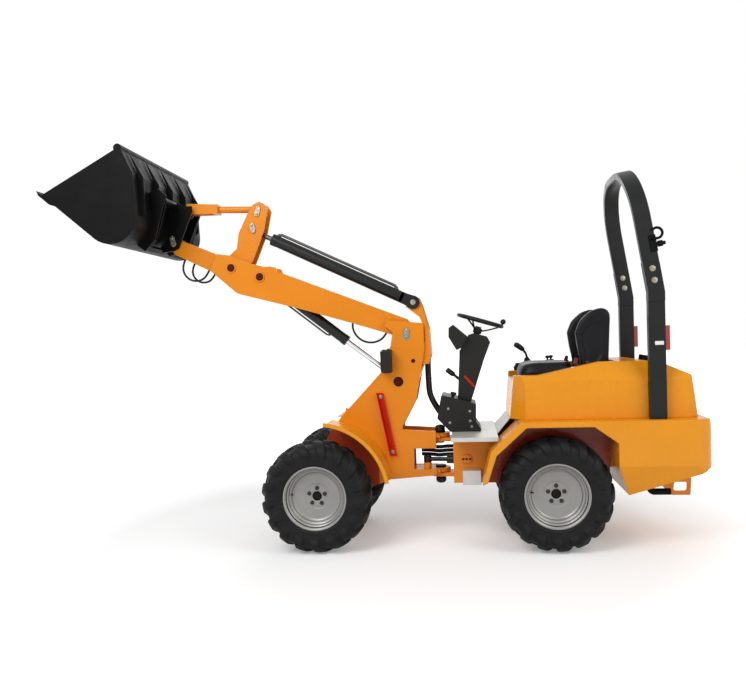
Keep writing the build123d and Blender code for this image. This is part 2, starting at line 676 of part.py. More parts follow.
def make_rear_body():
    """Fenders over the rear wheels, joined by the rounded weight behind them."""
    half = BODY_W / 2
    top = BODY_TOP
    rear = FRAME_REAR - FIT
    band = pair([
        (225, top), (426, 680), (483, 458), (450, 472), (390, 651), (190, ARCH_TOP), (-246, ARCH_TOP),
        (rear - 20, 708), (rear - 20, top),
    ], ARCH_WALL, half)
    liner = pair([
        (440, 520), (390, 651), (190, ARCH_TOP + 10), (-246, ARCH_TOP + 10), (rear - 20, 720), (rear - 20, 520),
    ], ARCH_WALL, ARCH_WALL + 6)
    weight = plate([
        (rear, 700), (rear, 560), (-469, 371), (-740, 458), (-923, 515), (BODY_REAR, 565), (BODY_REAR, 800),
        (BODY_REAR + 27, top), (rear, top),
    ], -half, half)
    plan = Pos((BODY_REAR + rear) / 2, 0, 0) * Rectangle(rear - BODY_REAR, BODY_W)
    plan = fillet(plan.vertices().sort_by(Axis.X)[:2], 130)
    weight &= extrude(plan, amount=2 * top, dir=(0, 0, 1))
    slope = make_face(Polyline(
        (0, -half + 70, 360), (0, -half, 572), (0, -half, top), (0, half, top), (0, half, 572), (0, half - 70, 360),
        close=True))
    weight &= extrude(Pos(BODY_REAR - 10, 0, 0) * slope, amount=rear - BODY_REAR + 20, dir=(1, 0, 0))
    return band + liner + weight


def hood_form(inset):
    """Outer form of the hood, or its inside at a wall's inset."""
    half = HOOD_W / 2 - inset
    front, rear, top = HOOD_FRONT - inset, HOOD_REAR + inset, HOOD_TOP - inset
    low = BODY_TOP - (1 if inset else 0)
    side = plate([
        (front, low), (front - 30, top - HOOD_DROP), (92, top - HOOD_DROP), (-315, top), (-618, top), (-744, top - 23),
        (rear + 76, top - 96), (rear + 30, low),
    ], -half, half)
    plan = make_face(Polyline(
        (front, -300), (front, 300), (front - 95, half), (rear, half), (rear, -half), (front - 95, -half), close=True))
    plan = fillet(plan.vertices().sort_by(Axis.X)[:2], 140)
    side &= extrude(plan, amount=2 * top, dir=(0, 0, 1))
    section = make_face(Polyline(
        (0, -half, low), (0, -half, top - 120), (0, -half + 90, top), (0, half - 90, top), (0, half, top - 120),
        (0, half, low), close=True))
    return side & extrude(Pos(rear - 10, 0, 0) * section, amount=front - rear + 20, dir=(1, 0, 0))


def make_hood():
    """Hollow hood with a flat recess for the operator's seat."""
    hood = hood_form(0) - hood_form(HOOD_T)
    recess = centred(-440, HOOD_FRONT + 10, SEAT_W + 90, SEAT_Z, HOOD_TOP + 10)
    deck = hood_form(0) & centred(-446, HOOD_FRONT, SEAT_W + 102, SEAT_Z - HOOD_T, HOOD_TOP)
    return hood - recess + (deck - recess)


def make_engine():
    return centred(-390, 120, FRAME_W - 2 * FRAME_T - 2 * FIT, 470, 1000)


def make_exhaust():
    """Bent tail pipe under the body."""
    path = FilletPolyline((-640, 300, belly_z(-618) - FIT), (-640, 300, 358), (-776, 300, 358), radius=30)
    outer = sweep(Plane(origin=path @ 0, z_dir=path % 0) * Circle(22), path=path)
    inner = sweep(Plane(origin=path @ 0, z_dir=path % 0) * Circle(18), path=path)
    return outer - inner


def make_tow_loop():
    """Flat loop that hangs behind the body on its stem."""
    top = [(x, belly_z(x) - FIT) for x in (-860, -760)]
    body = plate([*top, (-800, 330), (-861, 268), (-990, 268), (-1000, 387), (-900, 400)], -11, 11)
    return body - plate([(-872, 296), (-968, 296), (-972, 360), (-880, 362)], -11, 11, 18)


def make_filler_cap():
    slope = atan2(23, 126)
    seat = Plane(origin=(-690, 0, HOOD_TOP - 72 * 23 / 126 + FIT), z_dir=(-sin(slope), 0, cos(slope)))
    return seat * Pos(0, 0, 19) * Cylinder(40, 38)


# Operator's place


def pedestal_top(x):
    """Height of the pedestal's slanted top."""
    return 960 + (x - 511) * 69 / 245


def make_pedestal():
    """Box that carries the steering column at the front of the floor."""
    floor = FRAME_TOP + FLOOR_T
    ends = [(x, pedestal_top(x)) for x in (756, 511)]
    return plate([*ends, (514, floor + 70), (470, floor), (700, floor), (790, 861)], -150, 150, 12)


def make_steering_column():
    """Slanted cover round the steering shaft, up to under the steering wheel."""
    cover = plate([
        (640, pedestal_top(640) + FIT), (545, pedestal_top(545) + FIT), (447, 1267), (398, 1394), (420, 1435), (512, 1462), (552, 1450), (619, 1336),
    ], -62, 62)
    top = turned(WHEEL_CENTRE, 90 + WHEEL_LEAN, -44, 0)
    foot = turned(WHEEL_CENTRE, 90 + WHEEL_LEAN, -130, 0)
    return cover + bar(foot, top, 44)


def make_dash_shield():
    slope = 67 / 114
    seat = [(552 + (1450 - z) * slope + FIT, z) for z in (1438, 1360)]
    return plate([(660, 1526), *seat, (640, 1345), (694, 1439), (692, 1504)], -120, 120)


def make_steering_wheel():
    """Rim, three spokes, hub and the turning knob."""
    rim = Torus(WHEEL_D / 2 - 14, 14)
    hub = Pos(0, 0, -24) * Cylinder(34, 40)
    wheel = rim + hub
    for turn in (0, 120, 240):
        wheel += Rot(0, 0, turn) * Pos(WHEEL_D / 4, 0, -8) * Box(WHEEL_D / 2 - 30, 26, 8)
    knob = Pos(-WHEEL_D / 2 + 14, 0, 26) * Cylinder(18, 36)
    frame = Pos(WHEEL_CENTRE[0], 0, WHEEL_CENTRE[1]) * Rot(0, -WHEEL_LEAN, 0)
    return frame * (wheel + knob)


def make_seat_base():
    return centred(-180, 190, SEAT_W - 90, SEAT_Z, SEAT_Z + 26)


def make_seat_cushion():
    z = SEAT_Z + 26
    half = SEAT_W / 2
    return plate([(-178, z), (196, z), (208, z + 30), (190, z + 66), (60, z + 78), (-178, z + 92)], -half, half)


def make_seat_back():
    """Moulded back with side wings that reach forward."""
    z = SEAT_Z
    half = SEAT_W / 2
    back = plate([
        (-182, z), (-330, z), (-400, z + 90), (-425, z + 470), (-377, z + 494), (-330, z + 470),
        (-150, z + 330), (-128, z + 300), (-182, z + 150),
    ], -half, half)
    hollow = plate([(-182, z + 150), (-128, z + 300), (-100, z + 330), (-330, z + 470), (-262, z + 150)],
                   80 - half, half - 80)
    return back - hollow


def make_control_panel():
    """Console beside the seat on the right."""
    low = HOOD_TOP - HOOD_DROP + FIT
    return plate([
        (-90, low + 38), (92, low), (205, low), (212, low + 20), (190, PANEL_TOP), (60, PANEL_TOP), (-90, PANEL_TOP + 24),
    ], -385, -290)


def make_joystick():
    base = Pos(122, -338, PANEL_TOP + 15) * Cone(26, 12, 30)
    lean = Plane(origin=(122, -338, PANEL_TOP + 18), z_dir=(0.42, 0, 1))
    stem = lean * Pos(0, 0, 40) * Cylinder(8, 80)
    grip = lean * Pos(0, 0, 106) * Cylinder(20, 64)
    return base + stem + grip


# Roll bar and rear lamps


def make_posts():
    """Upright tubes, each with two splice plates that take the hoop."""
    y0, y1 = POST_Y - POST_T / 2, POST_Y + POST_T / 2
    x0, x1 = POST_X - POST_W / 2, POST_X + POST_W / 2
    tube = block(x0, x1, y0, y1, BODY_TOP, POST_TOP)
    tube -= block(x0 + 5, x1 - 5, y0 + 5, y1 - 5, BODY_TOP, POST_TOP)
    lean = 190 * sin(radians(HOOP_LEAN))
    shape = [(x0, POST_TOP - 60), (x1, POST_TOP - 60), (x1, POST_TOP), (x1 + lean, POST_TOP + 190),
             (x0 + lean, POST_TOP + 190), (x0, POST_TOP)]
    left = tube + plate(shape, y1, y1 + 7) + plate(shape, y0 - 4, y0)
    return Compound(children=[left, mirror(left, about=Plane.XZ)])


def make_hoop():
    """Bent tube over the operator, leaning forward from the posts' tops."""
    slant = cos(radians(HOOP_LEAN))
    height = (HOOP_TOP - POST_TOP) / slant
    half = POST_Y + POST_T / 2 - FIT
    outer = Pos(0, height / 2) * Rectangle(2 * half, height)
    outer = fillet(outer.vertices().sort_by(Axis.Y)[2:], 190)
    wall = POST_T - 2 * FIT
    inner = Pos(0, (height - wall) / 2) * Rectangle(2 * (half - wall), height - wall)
    inner = fillet(inner.vertices().sort_by(Axis.Y)[2:], 190 - wall)
    frame = Plane(origin=(POST_X - POST_W / 2, 0, POST_TOP), x_dir=(0, 1, 0), z_dir=(1, 0, 0))
    flat = extrude(frame * (outer - inner), amount=POST_W, dir=(1, 0, 0))
    turn = Pos(POST_X - POST_W / 2, 0, POST_TOP) * Rot(0, HOOP_LEAN, 0) * Pos(POST_W / 2 - POST_X, 0, -POST_TOP)
    lifted = turn * flat
    return Pos(0, 0, POST_W * sin(radians(HOOP_LEAN))) * lifted


def make_tail_lamps():
    x = POST_X - POST_W / 2
    left = block(x - 27, x, POST_Y - 24, POST_Y + 24, 1319, 1479)
    return Compound(children=[left, mirror(left, about=Plane.XZ)])


def build_parts():
    """Every piece by node name, with the rear axle at X 0."""
    rim, tyre = make_rim(), make_tyre()
    made = {
        "front_frame": make_front_frame(), "front_axle": make_axle(WHEELBASE), "pivot_pins": make_pivot_pins(),
        "front_fenders": make_front_fenders(), "boom_prop": make_boom_prop(), "front_lamps": make_front_lamps(),
        "boom": make_boom(), "boom_pins": make_boom_pins(),
        "boom_end_pin": headed_pin(BOOM_END, PIN_D, BOOM_BOX_W + 12 + 2 * HITCH_T + 2),
        "crank_pin": headed_pin(CRANK_AT, PIN_D, BOOM_W + 2 * FIT),
        "link_pin": headed_pin(LINK_AT, PIN_D, CRANK_GAP + 2 * CRANK_T + 2 * FIT),
        "tilt_pin": headed_pin(TILT_AT, PIN_D, TOWER_W - 2 * TOWER_T + 2 * FIT),
        "bell_crank": make_bell_crank(), "tilt_link": make_tilt_link(), "hitch": make_hitch(),
        "link_end_pins": stub_pins(HITCH_AT, PIN_D, *FORK),
        "rod_pins": stub_pins(ROD_AT, PIN_D, CRANK_GAP / 2, CRANK_GAP / 2 + CRANK_T), "bucket": make_bucket(), "cutting_edge": make_cutting_edge(),
        "lift_barrel": make_lift_barrel(), "lift_rod": make_lift_rod(), "tilt_barrel": make_tilt_barrel(),
        "tilt_sleeve": make_tilt_sleeve(), "tilt_rod": make_tilt_rod(), "steering_barrel": make_steering_barrel(),
        "steering_rod": make_steering_rod(), "rear_frame": make_rear_frame(), "rear_axle": make_axle(0),
        "floor_tray": make_floor_tray(), "side_box": make_side_box(), "rear_body": make_rear_body(),
        "hood": make_hood(), "engine": make_engine(), "exhaust": make_exhaust(), "tow_loop": make_tow_loop(),
        "filler_cap": make_filler_cap(), "pedestal": make_pedestal(), "steering_column": make_steering_column(),
        "dash_shield": make_dash_shield(), "steering_wheel": make_steering_wheel(), "seat_base": make_seat_base(),
        "seat_cushion": make_seat_cushion(), "seat_back": make_seat_back(), "control_panel": make_control_panel(),
        "joystick": make_joystick(), "roll_bar_posts": make_posts(), "roll_bar_hoop": make_hoop(),
        "tail_lamps": make_tail_lamps(),
    }
    for end, x in (("front", WHEELBASE), ("rear", 0)):
        for side in ("left", "right"):
            made[f"{end}_{side}_rim"] = on_axle(rim, x, side == "left")
            made[f"{end}_{side}_tyre"] = on_axle(tyre, x, side == "left")
    return made


def middle_of(parts):
    """X of the middle of the whole machine's box."""
    boxes = [shape.bounding_box() for shape in parts.values()]
    return (min(b.min.X for b in boxes) + max(b.max.X for b in boxes)) / 2


PARTS = build_parts()
SHIFT = middle_of(PARTS)

os.makedirs("parts", exist_ok=True)
for name, shape in PARTS.items():
    export_step(Pos(-SHIFT, 0, 0) * shape, f"parts/{name}.step")
print("middle of the box ahead of the rear axle:", round(SHIFT, 2))
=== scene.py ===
import json
from math import atan2, cos, pi, radians, sin

import bmesh
import bpy
import numpy as np
from mathutils import Matrix, Vector


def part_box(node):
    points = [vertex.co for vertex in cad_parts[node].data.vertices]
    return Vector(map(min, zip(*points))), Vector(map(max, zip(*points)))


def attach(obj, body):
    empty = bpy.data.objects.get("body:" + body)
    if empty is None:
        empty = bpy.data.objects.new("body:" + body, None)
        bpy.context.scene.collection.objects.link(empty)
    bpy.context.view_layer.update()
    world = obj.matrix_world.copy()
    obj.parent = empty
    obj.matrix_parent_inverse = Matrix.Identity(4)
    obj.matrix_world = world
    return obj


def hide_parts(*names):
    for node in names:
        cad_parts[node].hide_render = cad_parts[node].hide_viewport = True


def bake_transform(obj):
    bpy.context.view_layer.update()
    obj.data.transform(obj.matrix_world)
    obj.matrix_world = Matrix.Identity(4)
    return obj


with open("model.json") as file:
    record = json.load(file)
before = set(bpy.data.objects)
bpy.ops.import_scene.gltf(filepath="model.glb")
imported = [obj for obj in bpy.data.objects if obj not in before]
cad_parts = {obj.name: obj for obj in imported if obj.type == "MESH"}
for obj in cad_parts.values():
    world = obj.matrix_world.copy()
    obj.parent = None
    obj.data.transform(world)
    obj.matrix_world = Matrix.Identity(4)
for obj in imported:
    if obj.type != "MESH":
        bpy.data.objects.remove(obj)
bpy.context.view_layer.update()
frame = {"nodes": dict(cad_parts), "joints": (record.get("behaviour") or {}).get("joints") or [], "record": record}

# Looks of a compact articulated wheel loader, in metres, in the frame of its solids.

SLOTS = {part["node"]: part["material_slot"] for part in frame["record"]["subparts"]}
JOINTS = {joint["name"]: joint for joint in frame["joints"]}


def pivot(joint):
    """Rest place of a joint as an array."""
    return np.array(JOINTS[joint]["pos_m"])


def middle_of(node):
    """Middle of a solid's box as an array."""
    low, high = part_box(node)
    return np.array((low + high) / 2)


REAR_X = float(middle_of("rear_axle")[0])


def spot(x, z, y=0.0):
    """Point at a way ahead of the rear axle's line and a height."""
    return np.array((REAR_X + x, y, z))


# Shapes: each is a pair of arrays, points (n, 3) and quads (m, 4)


def skin(points, loop_u=False, loop_v=False):
    """Quads over an (n, m) grid of points; a looped side joins its last row to its first."""
    rows, columns = points.shape[:2]
    index = np.arange(rows * columns).reshape(rows, columns)
    if loop_u:
        index = np.vstack([index, index[:1]])
    if loop_v:
        index = np.hstack([index, index[:, :1]])
    corners = [index[:-1, :-1], index[1:, :-1], index[1:, 1:], index[:-1, 1:]]
    return points.reshape(-1, 3), np.stack(corners, -1).reshape(-1, 4)


def merge(*shapes):
    """Several shapes as one, with the quads' numbers moved on."""
    starts = np.cumsum([0] + [len(points) for points, _ in shapes[:-1]])
    points = np.vstack([points for points, _ in shapes])
    return points, np.vstack([quads + start for (_, quads), start in zip(shapes, starts)])


def axes_of(direction):
    """Two unit arrays across a direction, and the direction itself, as rows."""
    z = np.array(direction, float) / np.linalg.norm(direction)
    x = np.cross(z, (0, 1, 0) if abs(z[1]) < 0.9 else (1, 0, 0))
    x /= np.linalg.norm(x)
    return np.array([x, np.cross(z, x), z])


def turning(profile, at, direction, steps):
    """Profile of (radius, along) points turned about a line: at + r cos a X + r sin a Y + along Z."""
    r, along = np.array(profile, float).T
    angle = np.arange(steps) * 2 * pi / steps
    local = np.stack([np.outer(r, np.cos(angle)), np.outer(r, np.sin(angle)),
                      np.repeat(along[:, None], steps, 1)], -1)
    return skin(np.array(at) + local @ axes_of(direction), loop_v=True)


def rounded_steps(levels, edge, arc=4):
    """Profile of (radius, along) points, its corners cut back by an edge and filled by quadratic curves."""
    p = np.array(levels, float)
    before, corner, after = p[:-2], p[1:-1], p[2:]
    back, on = before - corner, after - corner
    back_length = np.linalg.norm(back, axis=1, keepdims=True)
    on_length = np.linalg.norm(on, axis=1, keepdims=True)
    first = corner + back / back_length * np.minimum(edge, 0.45 * back_length)
    last = corner + on / on_length * np.minimum(edge, 0.45 * on_length)
    t = np.linspace(0, 1, arc + 1)[None, :, None]
    curve = first[:, None] * (1 - t) ** 2 + 2 * corner[:, None] * t * (1 - t) + last[:, None] * t ** 2
    return np.vstack([p[:1], curve.reshape(-1, p.shape[1]), p[-1:]])


def tube(path, radius, steps=14):
    """Circle carried along a path of points, with flat ends; each ring is square to the path's tangent."""
    path = np.array(path, float)
    tangent = np.gradient(path, axis=0)
    tangent /= np.linalg.norm(tangent, axis=1, keepdims=True)
    lead = np.cross(tangent, (0.31, 0.87, 0.38))
    lead /= np.linalg.norm(lead, axis=1, keepdims=True)
    side = np.cross(tangent, lead)
    angle = np.arange(steps) * 2 * pi / steps
    size = np.broadcast_to(np.asarray(radius, float), (len(path),))[:, None, None]
    ring = np.cos(angle)[None, :, None] * lead[:, None] + np.sin(angle)[None, :, None] * side[:, None]
    rings = path[:, None] + size * ring
    ends = np.repeat(path[[0, -1]][:, None], steps, 1)
    return skin(np.concatenate([ends[:1], rings, ends[1:]]), loop_v=True)


def bolt(at, direction, across, height):
    """Washer, six-sided head and bolt end, all turned about the bolt's line."""
    r = across / 2
    washer = turning([(0, 0), (1.35 * r, 0), (1.35 * r, 0.0025), (0, 0.0025)], at, direction, 24)
    head = [(0, 0.002), (1.15 * r, 0.002), (1.15 * r, height - 0.001), (0.97 * r, height), (0, height)]
    end = [(0, height - 0.001), (0.5 * r, height - 0.001), (0.5 * r, height + 0.003), (0, height + 0.0035)]
    return merge(washer, turning(head, at, direction, 6), turning(end, at, direction, 12))


def piece(name, shape, material, body, stands_for=(), sharp=38):
    """Mesh of a shape, cleaned, smooth below a sharp angle, and carried by a body."""
    mesh = bpy.data.meshes.new(name)
    points, quads = shape
    mesh.from_pydata(points.tolist(), [], quads.tolist())
    work = bmesh.new()
    work.from_mesh(mesh)
    bmesh.ops.remove_doubles(work, verts=work.verts, dist=1e-6)
    bmesh.ops.dissolve_degenerate(work, edges=work.edges, dist=1e-7)
    bmesh.ops.recalc_face_normals(work, faces=work.faces)
    work.to_mesh(mesh)
    work.free()
    mesh.polygons.foreach_set("use_smooth", np.ones(len(mesh.polygons), bool))
    mesh.set_sharp_from_angle(angle=radians(sharp))
    mesh.materials.append(material)
    made = bpy.data.objects.new(name, mesh)
    bpy.context.scene.collection.objects.link(made)
    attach(made, body)
    if stands_for:
        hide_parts(*stands_for)
    return made


# Finishes: noise on Object coordinates varies colour, gloss and height


def link(tree, source, target):
    """Wire from one socket to another."""
    tree.links.new(source, target)


def object_place(tree):
    """Object coordinates, as a socket."""
    return tree.nodes.new("ShaderNodeTexCoord").outputs["Object"]


def along_axis(tree, axis):
    """Object coordinate along X, Y or Z, as a socket."""
    split = tree.nodes.new("ShaderNodeSeparateXYZ")
    link(tree, object_place(tree), split.inputs[0])
    return split.outputs[axis]


def reckon(tree, operation, *values):
    """Sum, product or the like of sockets, as a socket."""
    made = tree.nodes.new("ShaderNodeMath")
    made.operation = operation
    for value, socket in zip(values, made.inputs):
        link(tree, value, socket)
    return made.outputs[0]


def noise(tree, scale, detail=3.0, rough=0.55):
    """Noise on Object coordinates, as the node's factor socket."""
    made = tree.nodes.new("ShaderNodeTexNoise")
    made.inputs["Scale"].default_value = scale
    made.inputs["Detail"].default_value = detail
    made.inputs["Roughness"].default_value = rough
    link(tree, object_place(tree), made.inputs["Vector"])
    return made.outputs["Fac"]


def spread(tree, value, low, high, to_low, to_high):
    """Range of a value mapped to another range, held at its ends."""
    made = tree.nodes.new("ShaderNodeMapRange")
    for socket, number in zip(("From Min", "From Max", "To Min", "To Max"), (low, high, to_low, to_high)):
        made.inputs[socket].default_value = number
    link(tree, value, made.inputs["Value"])
    return made.outputs["Result"]


def blend_colour(tree, factor, first, second):
    """Mix of two colours, or of a socket's colour and a colour."""
    made = tree.nodes.new("ShaderNodeMix")
    made.data_type = "RGBA"
    link(tree, factor, made.inputs["Factor"])
    for socket, colour in (("A", first), ("B", second)):
        target = [i for i in made.inputs if i.name == socket and i.type == "RGBA"][0]
        if isinstance(colour, tuple):
            target.default_value = (*colour, 1)
        else:
            link(tree, colour, target)
    return [o for o in made.outputs if o.type == "RGBA"][0]


# Painted shade: inside the wheel arches the orange paint takes the dark red-brown of paint in shadow, with a soft
# edge.
ARCH_PAINTED_SHADE = (0.36, 0.045, 0.016)
WHEEL_ARCH_EDGE = 0.002


def arch_shade_share(tree, centre, reach, fade, inner, half, top, back):
    """Share of painted shade: one inside a wheel arch and zero elsewhere.

    The arch is what lies within a reach of a line across the machine, between inner and half of its
    width, below top and ahead of back. Over the fade before the reach the value falls to zero."""
    flat = tree.nodes.new("ShaderNodeVectorMath")
    flat.operation = "MULTIPLY"
    flat.inputs[1].default_value = (1, 0, 1)
    link(tree, object_place(tree), flat.inputs[0])
    away = tree.nodes.new("ShaderNodeVectorMath")
    away.operation = "DISTANCE"
    away.inputs[1].default_value = (centre[0], 0, centre[2])
    link(tree, flat.outputs[0], away.inputs[0])
    side = reckon(tree, "ABSOLUTE", along_axis(tree, "Y"))
    share = spread(tree, away.outputs["Value"], reach - fade, reach, 1.0, 0.0)
    bounds = (spread(tree, side, inner - WHEEL_ARCH_EDGE / 2, inner, 0.0, 1.0),
              spread(tree, side, half - WHEEL_ARCH_EDGE, half, 1.0, 0.0),
              spread(tree, along_axis(tree, "Z"), top - WHEEL_ARCH_EDGE, top, 1.0, 0.0),
              spread(tree, along_axis(tree, "X"), back, back + WHEEL_ARCH_EDGE, 0.0, 1.0))
    for bound in bounds:
        share = reckon(tree, "MULTIPLY", share, bound)
    return share


def finish(name, colour, rough, metal=0.0, coat=0.0, mottle=0.06, mottle_scale=3.0, grain=300.0, depth=0.02,
           dust=0.0, dust_colour=(0.30, 0.25, 0.19), edge=0.0, specular=0.5, arches=()):
    """Surface whose colour and gloss drift with broad noise, with fine grain in its height and dust low down.

    In the arches the colour is that of the shaded paint there."""
    material = bpy.data.materials.new(name)
    material.use_nodes = True
    tree = material.node_tree
    shader = tree.nodes["Principled BSDF"]
    shader.inputs["Metallic"].default_value = metal
    shader.inputs["Coat Weight"].default_value = coat
    shader.inputs["Coat Roughness"].default_value = 0.08
    shader.inputs["Specular IOR Level"].default_value = specular
    broad = noise(tree, mottle_scale)
    dark = tuple(c * (1 - mottle) for c in colour)
    light = tuple(min(1.0, c * (1 + mottle)) for c in colour)
    tint = blend_colour(tree, spread(tree, broad, 0.3, 0.7, 0, 1), dark, light)
    if dust:
        low = spread(tree, along_axis(tree, "Z"), 0.1, 0.9, dust, 0.0)
        patch = spread(tree, noise(tree, 7.0, 6.0, 0.7), 0.35, 0.75, 0.2, 1.0)
        tint = blend_colour(tree, reckon(tree, "MULTIPLY", low, patch), tint, dust_colour)
    # Painted shade: inside the wheel arches the colour turns to that of paint in shadow.
    for arch in arches:
        tint = blend_colour(tree, arch_shade_share(tree, *arch), tint, ARCH_PAINTED_SHADE)
    link(tree, tint, shader.inputs["Base Color"])
    link(tree, spread(tree, noise(tree, 11.0, 5.0), 0.3, 0.7, max(0.02, rough - 0.06), rough + 0.08),
         shader.inputs["Roughness"])
    bump = tree.nodes.new("ShaderNodeBump")
    bump.inputs["Strength"].default_value = 0.35
    bump.inputs["Distance"].default_value = depth * 0.01
    link(tree, noise(tree, grain, 2.0), bump.inputs["Height"])
    if edge:
        rounding = tree.nodes.new("ShaderNodeBevel")
        rounding.samples = 4
        rounding.inputs["Radius"].default_value = edge
        link(tree, rounding.outputs["Normal"], bump.inputs["Normal"])
    link(tree, bump.outputs["Normal"], shader.inputs["Normal"])
    return material


AXLES = {end: (middle_of(f"{end}_left_tyre") + middle_of(f"{end}_right_tyre")) / 2
         for end in ("front", "rear")}
BODY_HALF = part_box("rear_body")[1].y
TOWER_FACE = 0.120
WHEEL_ARCH_BACK = AXLES["rear"][0] - 0.398
# Wheel arches whose paint takes painted shade:
# line, reach, fade, inner and outer half widths, top, back
SHADED_WHEEL_ARCHES = (
    (AXLES["front"], AXLES["front"][2] + 0.1005, 0.07, TOWER_FACE - 0.0005, 2 * BODY_HALF, 2.0, 0.0),
    (AXLES["rear"] - (0.05, 0, 0), 0.512, 0.008, 0.0, BODY_HALF - 0.002, 0.838, WHEEL_ARCH_BACK),
)
ORANGE = (0.77, 0.240, 0.008)
PAINT = finish("loader_paint", ORANGE, 0.32, coat=0.10, mottle=0.035, grain=420, depth=0.012, dust=0.06,
               edge=0.004, specular=0.18, arches=SHADED_WHEEL_ARCHES)
BODY_PAINT = finish("body_paint", (0.80, 0.300, 0.008), 0.26, coat=0.16, mottle=0.03, grain=420,
                    depth=0.010, edge=0.012, specular=0.18, arches=SHADED_WHEEL_ARCHES)
BLACK_STEEL = finish("black_steel_paint", (0.0045, 0.0047, 0.0046), 0.46, mottle=0.25, mottle_scale=6,
                     grain=260, depth=0.03, edge=0.003, specular=0.07)
CYLINDER_BLACK = finish("cylinder_black", (0.0085, 0.0080, 0.0078), 0.34, mottle=0.15, mottle_scale=9,
                        edge=0.002, specular=0.25)
ROD_DARK = finish("rod_dark_chrome", (0.10, 0.098, 0.095), 0.25, metal=0.9, mottle=0.1, mottle_scale=20,
                  grain=500)
PIPE_GREY = finish("pipe_grey", (0.060, 0.054, 0.048), 0.40, mottle=0.15, mottle_scale=14, grain=400)
ZINC = finish("zinc_plate", (0.30, 0.275, 0.225), 0.38, metal=0.85, mottle=0.16, mottle_scale=40, grain=500,
              edge=0.001)
PALE_PLATE = finish("pale_plate", (0.80, 0.80, 0.80), 0.5, mottle=0.03, mottle_scale=20, grain=500)
CREAM = finish("cream_bush", (0.70, 0.62, 0.45), 0.5, mottle=0.06, mottle_scale=20, grain=400)
TRAY = finish("floor_tread_metal", (0.58, 0.59, 0.565), 0.42, metal=0.35, mottle=0.08, mottle_scale=9,
              grain=220, depth=0.05, dust=0.12, edge=0.002)
CHROME = finish("rod_chrome", (0.66, 0.66, 0.67), 0.12, metal=1.0, mottle=0.03, mottle_scale=20, grain=800,
                depth=0.004)
RED_PAINT = finish("prop_red_paint", (0.60, 0.012, 0.003), 0.36, coat=0.03, specular=0.12, mottle=0.08,
                   grain=420, edge=0.002)
# Painted shade: the dark red-brown of orange paint in shadow, used on sunk pin ends, on discs deep in two holes of
# the tower and on the boss's bolts.
SHADED_PAINT_RED = finish("painted_shade_dark_red", (0.060, 0.006, 0.003), 0.5, specular=0.15, mottle=0.30, mottle_scale=60,
                 grain=400, depth=0.05)
BELT_RED = finish("belt_red", (0.10, 0.008, 0.012), 0.45, mottle=0.20, mottle_scale=40, grain=500,
                  depth=0.04)
GREY_STEEL = finish("roll_bar_grey", (0.0115, 0.0120, 0.0120), 0.34, mottle=0.10, mottle_scale=5, grain=380,
                    edge=0.004, specular=0.2)
IRON = finish("engine_iron", (0.03, 0.028, 0.026), 0.6, metal=0.3, mottle=0.3, mottle_scale=12, grain=160,
              depth=0.08)
PLASTIC = finish("moulded_black_plastic", (0.0105, 0.0105, 0.0090), 0.46, mottle=0.10, mottle_scale=8,
                 grain=620, depth=0.05, edge=0.004, specular=0.22)
SEAT_SKIN = finish("seat_vinyl", (0.0055, 0.0058, 0.0072), 0.38, mottle=0.12, mottle_scale=10, grain=520,
                   depth=0.09, specular=0.16)
RED_LENS = finish("red_lens", (0.36, 0.012, 0.012), 0.16, coat=0.5, mottle=0.10, mottle_scale=60, grain=240,
                  depth=0.08)
RIM_SILVER = finish("rim_silver_paint", (0.29, 0.285, 0.275), 0.36, metal=0.4, mottle=0.05, mottle_scale=7,
                    grain=480, depth=0.015, dust=0.10)
RUBBER = finish("tyre_rubber", (0.0055, 0.0056, 0.0058), 0.60, mottle=0.25, mottle_scale=9, grain=240,
                depth=0.10, dust=0.08, dust_colour=(0.03, 0.027, 0.023), specular=0.20)
HOSE_RUBBER = finish("hose_rubber", (0.007, 0.007, 0.007), 0.45, mottle=0.15, mottle_scale=18, grain=380,
                     depth=0.05, specular=0.25)
HUB_BROWN = finish("hub_bore", (0.012, 0.009, 0.005), 0.6, specular=0.1, mottle=0.3, mottle_scale=25,
                   depth=0.08)

SLOT_FINISH = {
    "paint": PAINT, "black_steel": BLACK_STEEL, "zinc": ZINC, "rod_chrome": CHROME, "red_paint": RED_PAINT,
    "grey_steel": GREY_STEEL, "iron": IRON, "black_plastic": PLASTIC, "seat_skin": SEAT_SKIN,
    "red_plastic": RED_LENS, "rim_silver": RIM_SILVER, "tyre": RUBBER,
}
NODE_FINISH = {
    "floor_tray": TRAY, "side_box": TRAY, "front_axle": BLACK_STEEL, "rear_axle": BLACK_STEEL,
    "hood": BODY_PAINT, "rear_body": BODY_PAINT, "front_fenders": BODY_PAINT,
    "steering_rod": CYLINDER_BLACK, "steering_barrel": CYLINDER_BLACK, "tilt_barrel": CYLINDER_BLACK,
    "lift_barrel": CYLINDER_BLACK, "tilt_sleeve": CYLINDER_BLACK, "tilt_rod": ROD_DARK,
}
for node, made in frame["nodes"].items():
    for place in made.material_slots:
        place.material = NODE_FINISH.get(node, SLOT_FINISH[SLOTS[node]])


# Wheels

BARS = 17
BAR_LEAN = (-0.044, 0.078)
BAR_HEIGHT = 0.022
RIM_RADIUS = 0.217
BEAD_RADIUS = 0.197
BEAD_PLACE = 0.113
DISC_FACE = 0.026
WHEEL_BOLTS = 5
BOLT_CIRCLE = 0.056
# way from the middle line to a bar's start and end, length of the slope there
BAR_START = (0.004, 0.010)
BAR_END = (0.190, 0.045)
# place in the pitch, share of the bar's height
BAR_SECTION = np.array([
    (0.00, 0), (0.10, 0), (0.18, 0), (0.205, 0.12), (0.23, 0.55), (0.25, 0.88), (0.28, 1), (0.40, 1),
    (0.50, 1), (0.60, 1), (0.68, 1), (0.71, 0.88), (0.73, 0.55), (0.755, 0.12), (0.78, 0), (0.89, 0),
])


